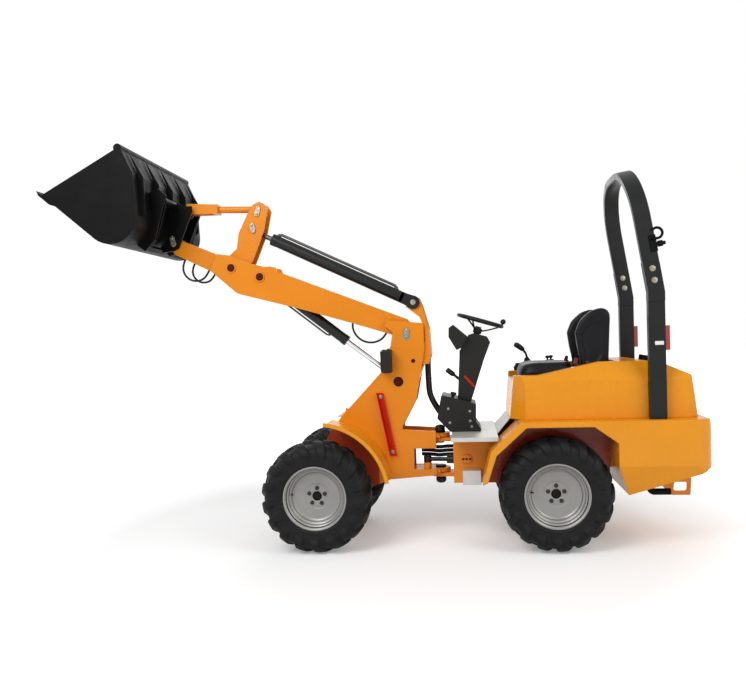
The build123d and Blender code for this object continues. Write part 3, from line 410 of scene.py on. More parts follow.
def tyre_section(half, crown):
    """Half of the carcass from its middle line to the bead, as (outward, radius) rows.

    Above the widest line it is a superellipse of power 2.8, below it a quarter ellipse, and two
    low rings stand on the side wall."""
    widest = RIM_RADIUS + 0.5 * (crown - RIM_RADIUS)
    up = np.linspace(pi / 2, 0, 44)
    power = 2 / 2.8
    top = np.stack([half * np.cos(up) ** power, widest + (crown - widest) * np.sin(up) ** power], -1)
    down = np.linspace(0, -pi / 2, 26)[1:]
    low = np.stack([BEAD_PLACE + (half - BEAD_PLACE) * np.cos(down),
                    widest + (widest - RIM_RADIUS) * np.sin(down)], -1)
    rows = np.vstack([top, low])
    for radius in (RIM_RADIUS + 0.016, RIM_RADIUS + 0.048):
        rows[:, 0] += 0.0022 * np.exp(-((rows[:, 1] - radius) / 0.0032) ** 2) * (rows[:, 0] > 0.8 * half)
    rows[0, 0] = 0
    return np.vstack([rows, [(BEAD_PLACE - 0.012, BEAD_RADIUS)]])


def tyre_shape(centre, half, outside):
    """Closed skin over angle and section, raised along its normal where a curved bar lies.

    The angle of each column is moved along the tread by a lean that grows with the way from the middle
    line, so columns follow the bars' edges, and the two sides differ by half a pitch."""
    crown = outside - BAR_HEIGHT
    section = tyre_section(half - 0.006, crown)
    way = np.concatenate([[0], np.cumsum(np.linalg.norm(np.diff(section, axis=0), axis=1))])
    tangent = np.gradient(section, axis=0)
    normal = np.stack([-tangent[:, 1], tangent[:, 0]], -1)
    normal *= np.sign(normal[0, 1]) / np.maximum(np.linalg.norm(normal, axis=1, keepdims=True), 1e-9)
    across = np.clip(way / half, 0, 1.25)
    lean = BAR_LEAN[0] + BAR_LEAN[1] * across ** 0.8
    start = np.clip((way - BAR_START[0]) / BAR_START[1], 0, 1)
    end = np.clip((BAR_END[0] - way) / BAR_END[1], 0, 1)
    height = BAR_HEIGHT * np.minimum(start * (2 - start), end * end * (3 - 2 * end))
    height *= 1 - 0.30 * np.clip((way - 0.06) / 0.08, 0, 1)
    pitch = 2 * pi / BARS
    column = (np.arange(BARS)[:, None] + BAR_SECTION[None, :, 0]).ravel() * pitch
    raised = np.tile(BAR_SECTION[:, 1], BARS)
    halves = []
    for side, phase in ((1, 0.0), (-1, 0.5)):
        angle = column[None] + (lean / outside)[:, None] + phase * pitch
        lift = height[:, None] * raised[None]
        w = side * (section[:, :1] + normal[:, :1] * lift)
        r = section[:, 1:] + normal[:, 1:] * lift
        halves.append(np.stack([r * np.cos(angle), w, r * np.sin(angle)], -1))
    points = np.concatenate([halves[1][::-1], halves[0][1:]])
    return skin(np.array(centre) + points, loop_u=True, loop_v=True)


def rim_shape(centre, side):
    """Rim, well and disc turned about the axle in one profile from the inner to the outer side."""
    profile = rounded_steps([
        (0.176, -0.114), (RIM_RADIUS, -0.114), (RIM_RADIUS, -0.106), (BEAD_RADIUS, -0.100),
        (BEAD_RADIUS, 0.100), (RIM_RADIUS, 0.106), (RIM_RADIUS + 0.001, 0.1145),
        (RIM_RADIUS - 0.008, 0.1145), (0.199, 0.106), (0.197, 0.088), (0.186, 0.082), (0.184, 0.066),
        (0.171, 0.060), (0.166, 0.045), (0.152, 0.037), (0.090, 0.030), (0.080, DISC_FACE),
        (0.033, DISC_FACE), (0.031, 0.012), (0.150, 0.012), (0.176, 0.030), (0.176, -0.114),
    ], 0.004)
    return turning(profile, centre, (0, side, 0), 96)


for axle_end in ("front", "rear"):
    for hand, side in (("left", 1), ("right", -1)):
        wheel = f"{axle_end}_{hand}"
        low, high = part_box(f"{wheel}_tyre")
        centre = middle_of(f"{wheel}_tyre")
        body = f"{wheel}_wheel"
        tyre = tyre_shape(centre, (high.y - low.y) / 2, (high.z - low.z) / 2)
        piece(f"{wheel}_lugged_tyre", tyre, RUBBER, body, [f"{wheel}_tyre"], 50)
        piece(f"{wheel}_dished_rim", rim_shape(centre, side), RIM_SILVER, body,
              [f"{wheel}_rim"])
        turn = 0.35 if axle_end == "front" else pi / 2
        angle = turn + np.arange(WHEEL_BOLTS) * 2 * pi / WHEEL_BOLTS
        face = np.full(WHEEL_BOLTS, side * DISC_FACE)
        seats = centre + np.stack([BOLT_CIRCLE * np.cos(angle), face, BOLT_CIRCLE * np.sin(angle)], -1)
        bolts = merge(*[bolt(seat, (0, side, 0), 0.021, 0.014) for seat in seats])
        piece(f"{wheel}_wheel_bolts", bolts, IRON, body)
        hub = rounded_steps([(0, 0.004), (0.030, 0.004), (0.030, 0.020), (0.022, 0.024), (0.010, 0.022),
                             (0, 0.022)], 0.003)
        piece(f"{wheel}_hub_centre", turning(hub, centre, (0, side, 0), 40), HUB_BROWN, body)
        root = centre + np.array((0.168, side * 0.052, 0.02))
        stem = [(0, 0), (0.006, 0), (0.006, 0.018), (0.004, 0.02), (0.004, 0.034), (0, 0.035)]
        stem = turning(stem, root, (-0.45, side, 0), 14)
        piece(f"{wheel}_valve", stem, HOSE_RUBBER, body)


# Plates cut from flat outlines


def slab(outline, y0, y1, edge=0.0015):
    """Outline of (x, z) points between two Y planes, fanned from its middle, its rims cut back by an edge."""
    flat = np.array(outline, float)
    middle = np.repeat(flat.mean(0)[None], len(flat), 0)
    small = flat - edge * (flat - middle) / np.linalg.norm(flat - middle, axis=1, keepdims=True)
    levels = [(middle, y0), (small, y0), (flat, y0 + edge * np.sign(y1 - y0)),
              (flat, y1 - edge * np.sign(y1 - y0)), (small, y1), (middle, y1)]
    rings = [np.stack([ring[:, 0], np.full(len(ring), y), ring[:, 1]], -1) for ring, y in levels]
    return skin(np.array(rings), loop_v=True)


def oblong(middle, length, width, turn, steps=10):
    """Outline of two half circles joined by straight sides, turned in XZ."""
    half = np.linspace(-pi / 2, pi / 2, steps)
    r, reach = width / 2, (length - width) / 2
    end = np.stack([reach + r * np.cos(half), r * np.sin(half)], -1)
    flat = np.vstack([end, -end])
    c, s = cos(turn), sin(turn)
    return np.array((middle[0], middle[-1])) + flat @ np.array([(c, s), (-s, c)])


# Pins: oblong keepers where the photograph shows them, and sunk pins in painted rings elsewhere

KEEPER = (0.080, 0.038, 0.007)
PIN_RADIUS = 0.020
BOOM_FACE = 0.0903
PIVOT_RADIUS, PIVOT_HALF = 0.030, 0.1215


def keeper(at, side, turn):
    """Oblong plate over a pin's end, with the pin's rim on it and a bolt at its far end."""
    length, width, thick = KEEPER
    away = np.array((cos(turn), 0, sin(turn)))
    face = np.array((0, side * thick, 0))
    outline = oblong(at + 0.5 * (length - width) * away, length, width, turn)
    plate = slab(outline, at[1], at[1] + side * thick)
    rim = [(0, 0.001), (0.010, 0.001), (0.011, 0.004), (0.0155, 0.004), (0.0165, 0), (0.0165, -0.003)]
    rim = turning(rim, at + face, (0, side, 0), 28)
    return merge(plate, rim, bolt(at + face + (length - width) * away, (0, side, 0), 0.017, 0.008))


def kept_pin(node, at, body, faces, turn):
    """Pin with a keeper on each outer face; faces are its inner and outer half widths."""
    inner, outer = faces
    shapes = []
    for side in (1, -1):
        end = at * (1, 0, 1) + np.array((0, side * outer, 0))
        shaft = [(0, inner), (PIN_RADIUS, inner), (PIN_RADIUS, outer), (0, outer)]
        shapes += [keeper(end, side, turn), turning(shaft, at * (1, 0, 1), (0, side, 0), 32)]
    piece(f"{node}_with_keepers", merge(*shapes), ZINC, body, [node])


def sunk_pin(name, at, stands_for):
    """Painted ring on each outer face of the boom, with the end of a sunk pin inside it in painted shade."""
    ring = rounded_steps([(0.0285, 0.0005), (0.0285, 0.008), (0.037, 0.008), (0.037, 0)], 0.0015)
    end = rounded_steps([(0.029, 0.0006), (0.020, 0.0006), (0.018, 0.003), (0.007, 0.003), (0.005, 0.001),
                         (0, 0.001)], 0.0008)
    seats = [(at * (1, 0, 1) + np.array((0, side * BOOM_FACE, 0)), (0, side, 0)) for side in (1, -1)]
    rings = merge(*[turning(ring, seat, way, 40) for seat, way in seats])
    ends = merge(*[turning(end, seat, way, 40) for seat, way in seats])
    piece(f"{name}_rings", rings, PAINT, "boom", stands_for)
    # Painted shade: the pin ends take the dark red-brown of paint in shadow inside the rings.
    piece(f"{name}_ends", ends, SHADED_PAINT_RED, "boom", stands_for)


BOOM_PIVOT, BOOM_END = pivot("boom_lift"), pivot("bucket_tilt")
TILT_AT = pivot("tilt_cylinder_level")
ROD_AT = middle_of("rod_pins")
LIFT_AT = pivot("lift_cylinder_turn")
LIFT_FOOT = BOOM_PIVOT + np.array((0.064, 0, -0.327))

kept_pin("link_pin", pivot("link_turn"), "crank", (0, 0.0603), radians(-72))
kept_pin("rod_pins", ROD_AT, "crank", (0.046, 0.0603), radians(78))
kept_pin("link_end_pins", middle_of("link_end_pins"), "link", (0.032, 0.0463), radians(-63))
kept_pin("boom_end_pin", BOOM_END, "boom", (0, 0.0900), radians(80))
sunk_pin("crank_pin", pivot("crank_turn"), ["crank_pin"])
sunk_pin("lift_pin", LIFT_AT, ["boom_pins"])
pivot_shaft = [(0, -PIVOT_HALF), (PIVOT_RADIUS, -PIVOT_HALF), (PIVOT_RADIUS, PIVOT_HALF), (0, PIVOT_HALF)]
piece("boom_pivot_pin", turning(pivot_shaft, BOOM_PIVOT, (0, 1, 0), 40), ZINC, "boom",
      ["boom_pins"])
keepers = [keeper(BOOM_PIVOT + np.array((0, side * 0.1222, 0)), side, radians(100)) for side in (1, -1)]
piece("boom_pivot_keepers", merge(*keepers), ZINC, "front")


# Cylinders: the tilt barrel's fork, and a pipe along each barrel

FORK_CHEEK = (0.1005, 0.1175)
FORK_RADIUS = 0.048
TILT_PIN_HALF = 0.121


def along(start, end):
    """Unit array from one point to another in XZ, and its upward normal."""
    way = (end - start) * (1, 0, 1)
    way /= np.linalg.norm(way)
    up = np.array((-way[2], 0, way[0]))
    return way, up if up[2] > 0 else -up


def make_tilt_fork():
    """Cheek outside each ear of the tower, narrowed to a bridge round the barrel, and the pin in them."""
    way, up = along(TILT_AT, ROD_AT)
    round_end = np.linspace(pi / 2, 3 * pi / 2, 17)
    round_end = FORK_RADIUS * np.stack([np.cos(round_end), np.sin(round_end)], -1)
    local = np.vstack([round_end, [(0.105, -0.034), (0.105, 0.034)]])
    outline = (TILT_AT + local[:, :1] * way + local[:, 1:] * up)[:, ::2]
    bridge_at = np.array([(0.078, -0.036), (0.112, -0.036), (0.112, 0.036), (0.078, 0.036)])
    bridge = (TILT_AT + bridge_at[:, :1] * way + bridge_at[:, 1:] * up)[:, ::2]
    cheeks = [slab(outline, side * FORK_CHEEK[0], side * FORK_CHEEK[1], 0.003) for side in (1, -1)]
    fork = merge(*cheeks, slab(bridge, -FORK_CHEEK[1], FORK_CHEEK[1], 0.003))
    piece("tilt_fork", fork, CYLINDER_BLACK, "tilt_barrel")
    end = rounded_steps([(0, -TILT_PIN_HALF), (PIN_RADIUS, -TILT_PIN_HALF), (PIN_RADIUS, TILT_PIN_HALF),
                         (0, TILT_PIN_HALF)], 0.003)
    piece("tilt_pin_bar", turning(end, TILT_AT, (0, 1, 0), 32), ZINC, "tilt_pin", ["tilt_pin"])


def make_pipe(name, body, start, end, first, last, offset, radius):
    """Pipe held beside a barrel, with its ends turned into the barrel's wall through six-sided nuts."""
    way, up = along(start, end)
    # way along the barrel, share of the offset
    route = [(first, 0.6), (first, 0.85), (first + 0.02, 1), (last - 0.02, 1), (last, 0.85), (last, 0.6)]
    path = [start + reach * way + share * offset * up for reach, share in route]
    foot, top, half = 0.55 * offset, 0.8 * offset, 1.7 * radius
    nut = [(0, foot), (half, foot), (half, top), (0, top)]
    nuts = [turning(nut, start + reach * way, up, 6) for reach in (first, last)]
    piece(name, merge(tube(path, radius), *nuts), PIPE_GREY, body)


make_tilt_fork()
TILT_LENGTH = float(np.linalg.norm((ROD_AT - TILT_AT)[::2]))
make_pipe("tilt_pipe", "tilt_barrel", TILT_AT, ROD_AT, 0.16, TILT_LENGTH - 0.175, 0.058, 0.011)
make_pipe("lift_pipe", "lift_barrel", LIFT_AT, LIFT_FOOT, 0.09, 0.655, -0.052, 0.007)


# Roll bar: bent arch on the posts, splice bolts, beacon bracket and a blank plate

POST_X, POST_WIDTH, POST_TOP = -0.668, 0.107, 1.700
ARCH_LEAN, ARCH_HALF, ARCH_WALL, ARCH_RADIUS = radians(9.2), 0.4747, 0.0494, 0.390
ARCH_HEIGHT = (2.545 - POST_TOP) / cos(ARCH_LEAN)


def arch_line(inset, steps=22):
    """Half of the arch in its own plane as (across, up): one leg, a quarter circle and the middle."""
    angle = np.linspace(0, pi / 2, steps)
    r = ARCH_RADIUS - inset
    middle = np.array((ARCH_HALF, ARCH_HEIGHT)) - ARCH_RADIUS
    turn = middle + r * np.stack([np.cos(angle), np.sin(angle)], -1)
    return np.vstack([[(ARCH_HALF - inset, 0)], turn, [(0, ARCH_HEIGHT - inset)]])


def make_arch(edge=0.006):
    """Flat tube with a section of eight corners along the arch, which leans forward from the posts."""
    outer, inner = arch_line(0), arch_line(ARCH_WALL)
    share, depth = edge / ARCH_WALL, POST_WIDTH
    # share of the wall from outside, place along X
    section = [(0, edge), (0, depth - edge), (share, depth), (1 - share, depth), (1, depth - edge),
               (1, edge), (1 - share, 0), (share, 0)]
    half = np.array([[(d, *(o + (i - o) * s)) for s, d in section] for o, i in zip(outer, inner)])
    whole = np.concatenate([half, (half * (1, -1, 1))[::-1][1:]])
    ends = whole[[0, -1]].mean(1, keepdims=True).repeat(len(section), 1)
    d, u, v = np.moveaxis(np.concatenate([ends[:1], whole, ends[1:]]), -1, 0)
    c, s = cos(ARCH_LEAN), sin(ARCH_LEAN)
    base = spot(POST_X - POST_WIDTH / 2, POST_TOP + POST_WIDTH * s)
    points = base + np.stack([d * c + v * s, u, v * c - d * s], -1)
    piece("roll_bar_arch", skin(points, loop_v=True), GREY_STEEL, "rear", ["roll_bar_hoop"])


def make_roll_bar_trim():
    """Two bolts through each splice from both sides, a beacon's hook, and a blank plate on the left post."""
    bolts = []
    for y, side in ((0.482, 1), (0.421, -1), (-0.421, 1), (-0.482, -1)):
        bolts += [bolt(spot(POST_X + rise * sin(ARCH_LEAN), POST_TOP + rise, y), (0, side, 0), 0.030, 0.013)
                  for rise in (0.074, 0.150)]
    piece("splice_bolts", merge(*bolts), ZINC, "rear")
    lean = np.array((sin(ARCH_LEAN), 0, cos(ARCH_LEAN)))
    foot = spot(-0.640, 1.955, 0.4765)
    back = np.array((-cos(ARCH_LEAN), 0, sin(ARCH_LEAN)))
    holder = [foot, foot + 0.045 * back, foot + 0.045 * back + 0.110 * lean, foot + 0.110 * lean]
    angle = np.linspace(-pi / 2, 0.75 * pi, 15)[:, None]
    bend = foot + 0.055 * back + 0.115 * lean + 0.034 * (np.cos(angle) * back + np.sin(angle) * lean)
    stub = turning([(0, 0), (0.020, 0), (0.020, 0.030), (0.012, 0.034), (0.012, 0.048), (0, 0.048)],
                   foot + 0.050 * back + 0.045 * lean + np.array((0, 0.002, 0)), back, 20)
    hook = tube(np.vstack([[foot + 0.02 * back + 0.081 * lean], bend]) + np.array((0, 0.012, 0)), 0.009)
    bracket = merge(slab(np.array(holder)[:, ::2], 0.4752, 0.4822), hook, stub)
    piece("beacon_bracket", bracket, BLACK_STEEL, "rear")
    corners = [(-0.708, 1.354), (-0.652, 1.354), (-0.652, 1.378), (-0.708, 1.378)]
    pale = slab([spot(*corner)[::2] for corner in corners], 0.4755, 0.4763, 0.0003)
    piece("post_plate", pale, PALE_PLATE, "rear")


make_arch()
make_roll_bar_trim()


# Steering wheel, column and pedestal

WHEEL_RIM, WHEEL_TUBE, WHEEL_DISH = 0.161, 0.014, 0.072
ROD_FOOT, ROD_RADIUS, ROD_STEP = 0.024, 0.0055, 0.17
KNOB_RADIUS, KNOB_HEIGHT = 0.020, 0.036
PEDESTAL_EDGE, PEDESTAL_SLOPE = (0.511, 0.960), 69 / 245
PEDESTAL_KNOB_X = 0.677
COLUMN_LEAN = atan2(81, 71)


def make_steering_wheel():
    """Ring on three pairs of rods from a low hub, with a ball knob on a stem, about the wheel's own line."""
    centre, up = pivot("steering_wheel_turn"), np.array(JOINTS["steering_wheel_turn"]["axis"])
    up = up * np.sign(up[2])
    line = np.array([np.cross((0, 1, 0), up), (0, 1, 0), up])

    def local(points):
        """Points in the wheel's own axes, brought to its place."""
        return centre + np.array(points, float) @ line

    angle = np.linspace(0, 2 * pi, 73)[:-1]
    ring = np.stack([WHEEL_RIM * np.cos(angle), WHEEL_RIM * np.sin(angle), 0 * angle], -1)
    around = np.linspace(0, 2 * pi, 17)[:-1]
    grip = ring[:, None] * (1 + WHEEL_TUBE / WHEEL_RIM * np.cos(around))[None, :, None]
    grip[..., 2] += WHEEL_TUBE * np.sin(around)
    shapes = [skin(local(grip), loop_u=True, loop_v=True)]
    rise = np.linspace(0, 1, 9)
    for turn in np.arange(3) * 2 * pi / 3 + pi / 3:
        for step in (-ROD_STEP, ROD_STEP):
            reach = ROD_FOOT + (WHEEL_RIM - ROD_FOOT) * rise
            height = WHEEL_DISH * (rise ** 1.15 - 1)
            bearing = turn + step * rise
            rod = np.stack([reach * np.cos(bearing), reach * np.sin(bearing), height], -1)
            shapes.append(tube(local(rod), ROD_RADIUS, 10))
    hub = rounded_steps([(0, -0.022), (0.030, -0.022), (0.033, 0.012), (0.020, 0.022), (0, 0.024)], 0.004)
    hub = hub - (0, WHEEL_DISH)
    shapes.append(turning(hub, centre, line[2], 32))
    ball = np.linspace(-pi / 2, pi / 2, 13)
    knob = np.stack([KNOB_RADIUS * np.cos(ball), KNOB_HEIGHT + KNOB_RADIUS * np.sin(ball)], -1)
    knob_at = local([(-WHEEL_RIM, 0, 0)])[0]
    stem = [(0, 0), (0.008, 0), (0.008, 0.03), (0, 0.03)]
    shapes += [turning(knob, knob_at, line[2], 24), turning(stem, knob_at, line[2], 14)]
    piece("dished_steering_wheel", merge(*shapes), PLASTIC, "steering_wheel",
          ["steering_wheel"], 50)


def make_console_trim():
    """Bolts and knob on the pedestal, with the lever and the red strip on the column."""
    screws = [(0.709, 0.930), (0.700, 0.830), (0.556, 0.909), (0.556, 0.840), (0.545, 0.800)]
    bolts = [bolt(spot(x, z, side * 0.150), (0, side, 0), 0.014, 0.006)
             for x, z in screws for side in (1, -1)]
    piece("pedestal_bolts", merge(*bolts), ZINC, "rear")
    knob = rounded_steps([(0, 0), (0.012, 0), (0.012, 0.014), (0.022, 0.020), (0.022, 0.036), (0, 0.040)],
                         0.004)
    rise = (PEDESTAL_KNOB_X - PEDESTAL_EDGE[0]) * PEDESTAL_SLOPE
    seat = spot(PEDESTAL_KNOB_X, PEDESTAL_EDGE[1] + rise + 0.0005, 0.100)
    piece("pedestal_knob", turning(knob, seat, (-0.27, 0, 0.96), 24), PLASTIC, "rear")
    lever = tube([spot(0.606, 1.112), spot(0.652, 1.150), spot(0.680, 1.174)], 0.010)
    handle = tube([spot(0.664, 1.160), spot(0.672, 1.167), spot(0.712, 1.198), spot(0.718, 1.203)],
                  [0.013, 0.019, 0.019, 0.014])
    piece("column_lever", merge(lever, handle), PLASTIC, "rear")
    strip = oblong(spot(0.553, 1.115), 0.108, 0.016, COLUMN_LEAN)
    piece("column_strip", slab(strip, 0.0622, 0.0650, 0.001), RED_PAINT, "rear")


make_steering_wheel()
make_console_trim()


# Seat: stuffed cushion and back between moulded wings, with a belt's ends

SEAT_FLOOR = 1.130
SEAT_HALF = 0.235


def make_cushion():
    """Pad over a superellipse plan of power 4.5: its top sinks in the middle and its rim rolls down."""
    low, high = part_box("seat_cushion")
    middle, half = np.array((low + high) / 2), np.array((high - low) / 2)
    angle = np.arange(72) * 2 * pi / 72
    power = 2 / 4.5
    plan = np.stack([np.sign(np.cos(angle)) * np.abs(np.cos(angle)) ** power,
                     np.sign(np.sin(angle)) * np.abs(np.sin(angle)) ** power], -1)
    share = np.concatenate([np.linspace(0, 0.8, 14), np.linspace(0.83, 1.0, 12)])
    x, y = (share[:, None] * plan[None, :, k] for k in (0, 1))
    round_off = 1 - np.clip((share[:, None] - 0.72) / 0.28, 0, 1) ** 3
    hollow = 0.020 * np.exp(-((x + 0.2) / 0.5) ** 2 - (y / 0.55) ** 2)
    rise = 2 * half[2] * (0.30 + 0.70 * round_off) - hollow - 0.014 * np.clip(x, 0, 1) ** 2
    top = np.stack([middle[0] + half[0] * x, half[1] * y, low.z + rise], -1)
    under = top[::-1] * (1, 1, 0) + np.array((0, 0, low.z + 0.001))
    under[0] = top[-1] * (1, 1, 0) + np.array((0, 0, low.z + 0.010))
    pad = piece("seat_pad", skin(np.concatenate([top, under]), loop_v=True), SEAT_SKIN, "rear",
                ["seat_cushion"], 60)


def ray_reach(outline, centre, angle):
    """Way from a point to an outline along each angle: the least positive crossing of a ray with an edge."""
    start = np.array(outline) - centre
    edge = np.roll(start, -1, 0) - start
    ray = np.stack([np.cos(angle), np.sin(angle)], -1)[:, None]
    cross = ray[..., 0] * edge[:, 1] - ray[..., 1] * edge[:, 0]
    with np.errstate(divide="ignore"):
        far = (start[:, 0] * edge[:, 1] - start[:, 1] * edge[:, 0]) / cross
        place = (start[:, 0] * ray[..., 1] - start[:, 1] * ray[..., 0]) / cross
    return np.where((far > 0) & (place >= -1e-9) & (place <= 1 + 1e-9), far, np.inf).min(1)


def soft_reach(outline, centre, angle):
    """Way from a point to an outline along each angle, with its corners eased by a running mean."""
    reach = ray_reach(outline, centre, angle)
    soft = np.array([1, 2, 3, 2, 1]) / 9
    return np.convolve(np.concatenate([reach[-2:], reach, reach[:2]]), soft, "valid")


def make_seat_back():
    """Each wing is a rounded plate with a sunk field, and a thick stuffed panel stands between the wings."""
    angle = np.linspace(0, 2 * pi, 97)[:-1]
    ray = np.stack([np.cos(angle), np.sin(angle)], -1)
    outline = np.array([(-0.222, 0), (-0.350, 0), (-0.402, 0.09), (-0.420, 0.455), (-0.367, 0.486),
                        (-0.285, 0.462), (-0.215, 0.400), (-0.180, 0.318), (-0.194, 0.215), (-0.216, 0.110)])
    centre = outline.mean(0)
    # share of the way to the outline's edge, share of the plate's thickness
    section = np.array([(0, 0), (0.80, 0), (0.93, 0.06), (0.985, 0.2), (1, 0.4), (1, 0.6), (0.985, 0.8),
                        (0.94, 0.94), (0.86, 1), (0.66, 1), (0.60, 0.97), (0.56, 0.86), (0.50, 0.83),
                        (0, 0.83)])
    way = soft_reach(outline, centre, angle)[:, None] * section[None, :, 0]
    flat = centre + way[..., None] * ray[:, None]
    wings = []
    for side in (1, -1):
        y = np.broadcast_to(side * (SEAT_HALF - 0.062 * (1 - section[:, 1])), way.shape)
        wings.append(skin(np.stack([REAR_X + flat[..., 0], y, SEAT_FLOOR + flat[..., 1]], -1), loop_u=True))
    piece("seat_wings", merge(*wings), SEAT_SKIN, "rear", ["seat_back"], 60)
    rear = np.array([(-0.235, 0.03), (-0.335, 0.01), (-0.392, 0.09), (-0.410, 0.448), (-0.365, 0.476),
                     (-0.318, 0.455), (-0.268, 0.15)])
    middle = rear.mean(0)
    across = np.linspace(-1, 1, 25)
    thick = soft_reach(rear, middle, angle)[None] * (1 - 0.22 * np.abs(across[:, None]) ** 4)
    line = middle + thick[..., None] * ray
    y = np.broadcast_to((SEAT_HALF - 0.045) * across[:, None], thick.shape)
    panel = np.stack([REAR_X + line[..., 0], y, SEAT_FLOOR + line[..., 1]], -1)
    ends = panel[[0, -1]].mean(1, keepdims=True).repeat(len(angle), 1)
    panel = skin(np.concatenate([ends[:1], panel, ends[1:]]), loop_v=True)
    pad = piece("seat_back_pad", panel, SEAT_SKIN, "rear", ["seat_back"], 60)


def make_belt():
    """Buckle and latch at each side of the cushion, on short straps."""
    shapes = []
    for side in (1, -1):
        y = side * (SEAT_HALF + 0.004)
        for x, z, turn in ((-0.176, 1.248, 1.9), (-0.262, 1.226, 0.9)):
            buckle = oblong(spot(x, z), 0.052, 0.026, turn)
            strap = oblong(spot(x - 0.012, z - 0.044), 0.080, 0.026, 1.35)
            shapes += [slab(buckle, y, y + side * 0.016, 0.003), slab(strap, y, y + side * 0.004, 0.001)]
    piece("belt_ends", merge(*shapes), BELT_RED, "rear")


make_cushion()
make_seat_back()
make_belt()


# Joystick and panel knobs


def make_joystick():
    """Bellows boot, bent stem and thick grip that leans forward."""
    fold = np.arange(13)
    boot = np.stack([0.034 - 0.0018 * fold + 0.003 * (fold % 2), 0.0035 * fold], -1)
    boot = np.vstack([[(0, 0)], boot, [(0, boot[-1, 1])]])
    base = spot(0.104, 1.2225, -0.338)
    stem = base + np.array([(0, 0, 0.03), (0.012, 0, 0.07), (0.034, 0, 0.103)])
    grip = base + np.array([(0.028, 0, 0.094), (0.034, 0, 0.101), (0.050, 0, 0.116), (0.078, 0, 0.136),
                            (0.092, 0, 0.142), (0.098, 0, 0.145)])
    grip_radius = [0.011, 0.017, 0.020, 0.021, 0.018, 0.009]
    shapes = [turning(boot, base, (0.2, 0, 1), 24), tube(stem, 0.009), tube(grip, grip_radius)]
    piece("bent_joystick", merge(*shapes), PLASTIC, "rear", ["joystick"], 50)
    knob = rounded_steps([(0, 0), (0.007, 0), (0.007, 0.018), (0.017, 0.022), (0.017, 0.038), (0, 0.042)],
                         0.003)
    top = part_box("control_panel")[1].z
    knobs = [turning(knob, spot(x, top - 0.012, y), (0, 0, 1), 18)
             for x, y in ((-0.045, -0.315), (-0.075, -0.360))]
    piece("panel_knobs", merge(*knobs), PLASTIC, "rear")


make_joystick()


# Frames: pivot caps and bush, painted shade deep in the tower's holes, prop bolts and the rear frame's boss

CAP_RADIUS = 0.037
BOSS_X, BOSS_Z, BOSS_FACE = 0.588, 0.580, 0.214


def make_frame_trim():
    """Domed caps and a bush at the pivot, dark discs of painted shade deep in two holes, the prop's bolts and a
    bolted boss.
    """
    hinge = pivot("articulation")
    angle = np.linspace(0, pi / 2, 9)
    dome = np.stack([CAP_RADIUS * np.cos(angle), 0.020 + 0.022 * np.sin(angle)], -1)
    dome = np.vstack([[(0, 0), (CAP_RADIUS, 0)], dome])
    caps = [turning(dome, np.array((hinge[0], 0, z)), (0, 0, way), 32)
            for z, way in ((0.7585, 1), (0.4135, -1))]
    piece("pivot_caps", merge(*caps), PLASTIC, "rear")
    bush = [(0.031, 0), (0.055, 0), (0.055, 0.0035), (0.031, 0.0035)]
    bush = turning(bush, np.array((hinge[0], 0, 0.4592)), (0, 0, 1), 40)
    piece("pivot_bush", bush, CREAM, "rear")
    # Painted shade: dark discs stand deep in two holes of the tower, where there is only shadow.
    holes = [(LIFT_FOOT, 0.0355), (BOOM_PIVOT + np.array((-0.047, 0, -0.180)), 0.0147)]
    shade_discs = [turning([(0, 0.0988), (r, 0.0988), (r, 0.1010), (0, 0.1010)], at, (0, side, 0), 32)
              for at, r in holes for side in (1, -1)]
    piece("tower_hole_painted_shade", merge(*shade_discs), SHADED_PAINT_RED, "front")
    low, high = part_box("boom_prop")
    ends = [(high.x - 0.030, high.z - 0.028), (low.x + 0.030, low.z + 0.028)]
    heads = [bolt((x, TOWER_FACE + 0.006, z), (0, 1, 0), 0.022, 0.010) for x, z in ends]
    piece("prop_bolts", merge(*heads), ZINC, "front")
    boss = slab(oblong(spot(BOSS_X, BOSS_Z), 0.078, 0.058, 0.0), 0.2003, BOSS_FACE, 0.003)
    piece("frame_boss", boss, PAINT, "rear")
    seats = [spot(BOSS_X + step, BOSS_Z, BOSS_FACE) for step in (-0.024, 0, 0.024)]
    screws = [bolt(seat, (0, 1, 0), 0.013, 0.006) for seat in seats]
    # Painted shade: the boss's bolts take the dark red-brown of paint in shadow.
    piece("frame_boss_bolts", merge(*screws), SHADED_PAINT_RED, "rear")


make_frame_trim()


# Hoses that hang free: the points repeat no solid, and each spline takes them as its control points

HOSE_DIAMETER, BUNDLE_DIAMETER, JOINT_DIAMETER = 0.015, 0.044, 0.027
BOOM_SLOPE = radians(23.1)


def loop_points(start, slope, first, width, drop, y):
    """Control points down from a sloping face, round half of a ten-sided ring and up to the face again."""
    r = width / 2
    corner = r / cos(radians(18))
    turns = np.radians((198, 234, 270, 306, 342))
    ring = np.stack([r + corner * np.cos(turns), corner * np.sin(turns) - drop], -1)
    flat = np.vstack([(0, -0.0003), ring, (width, -0.0003)]) + (first, 0)
    c, s = cos(slope), sin(slope)
    turned = np.array((start[0], start[-1])) + flat @ np.array([(c, s), (-s, c)])
    return np.stack([turned[:, 0], np.full(len(turned), y), turned[:, 1]], -1)


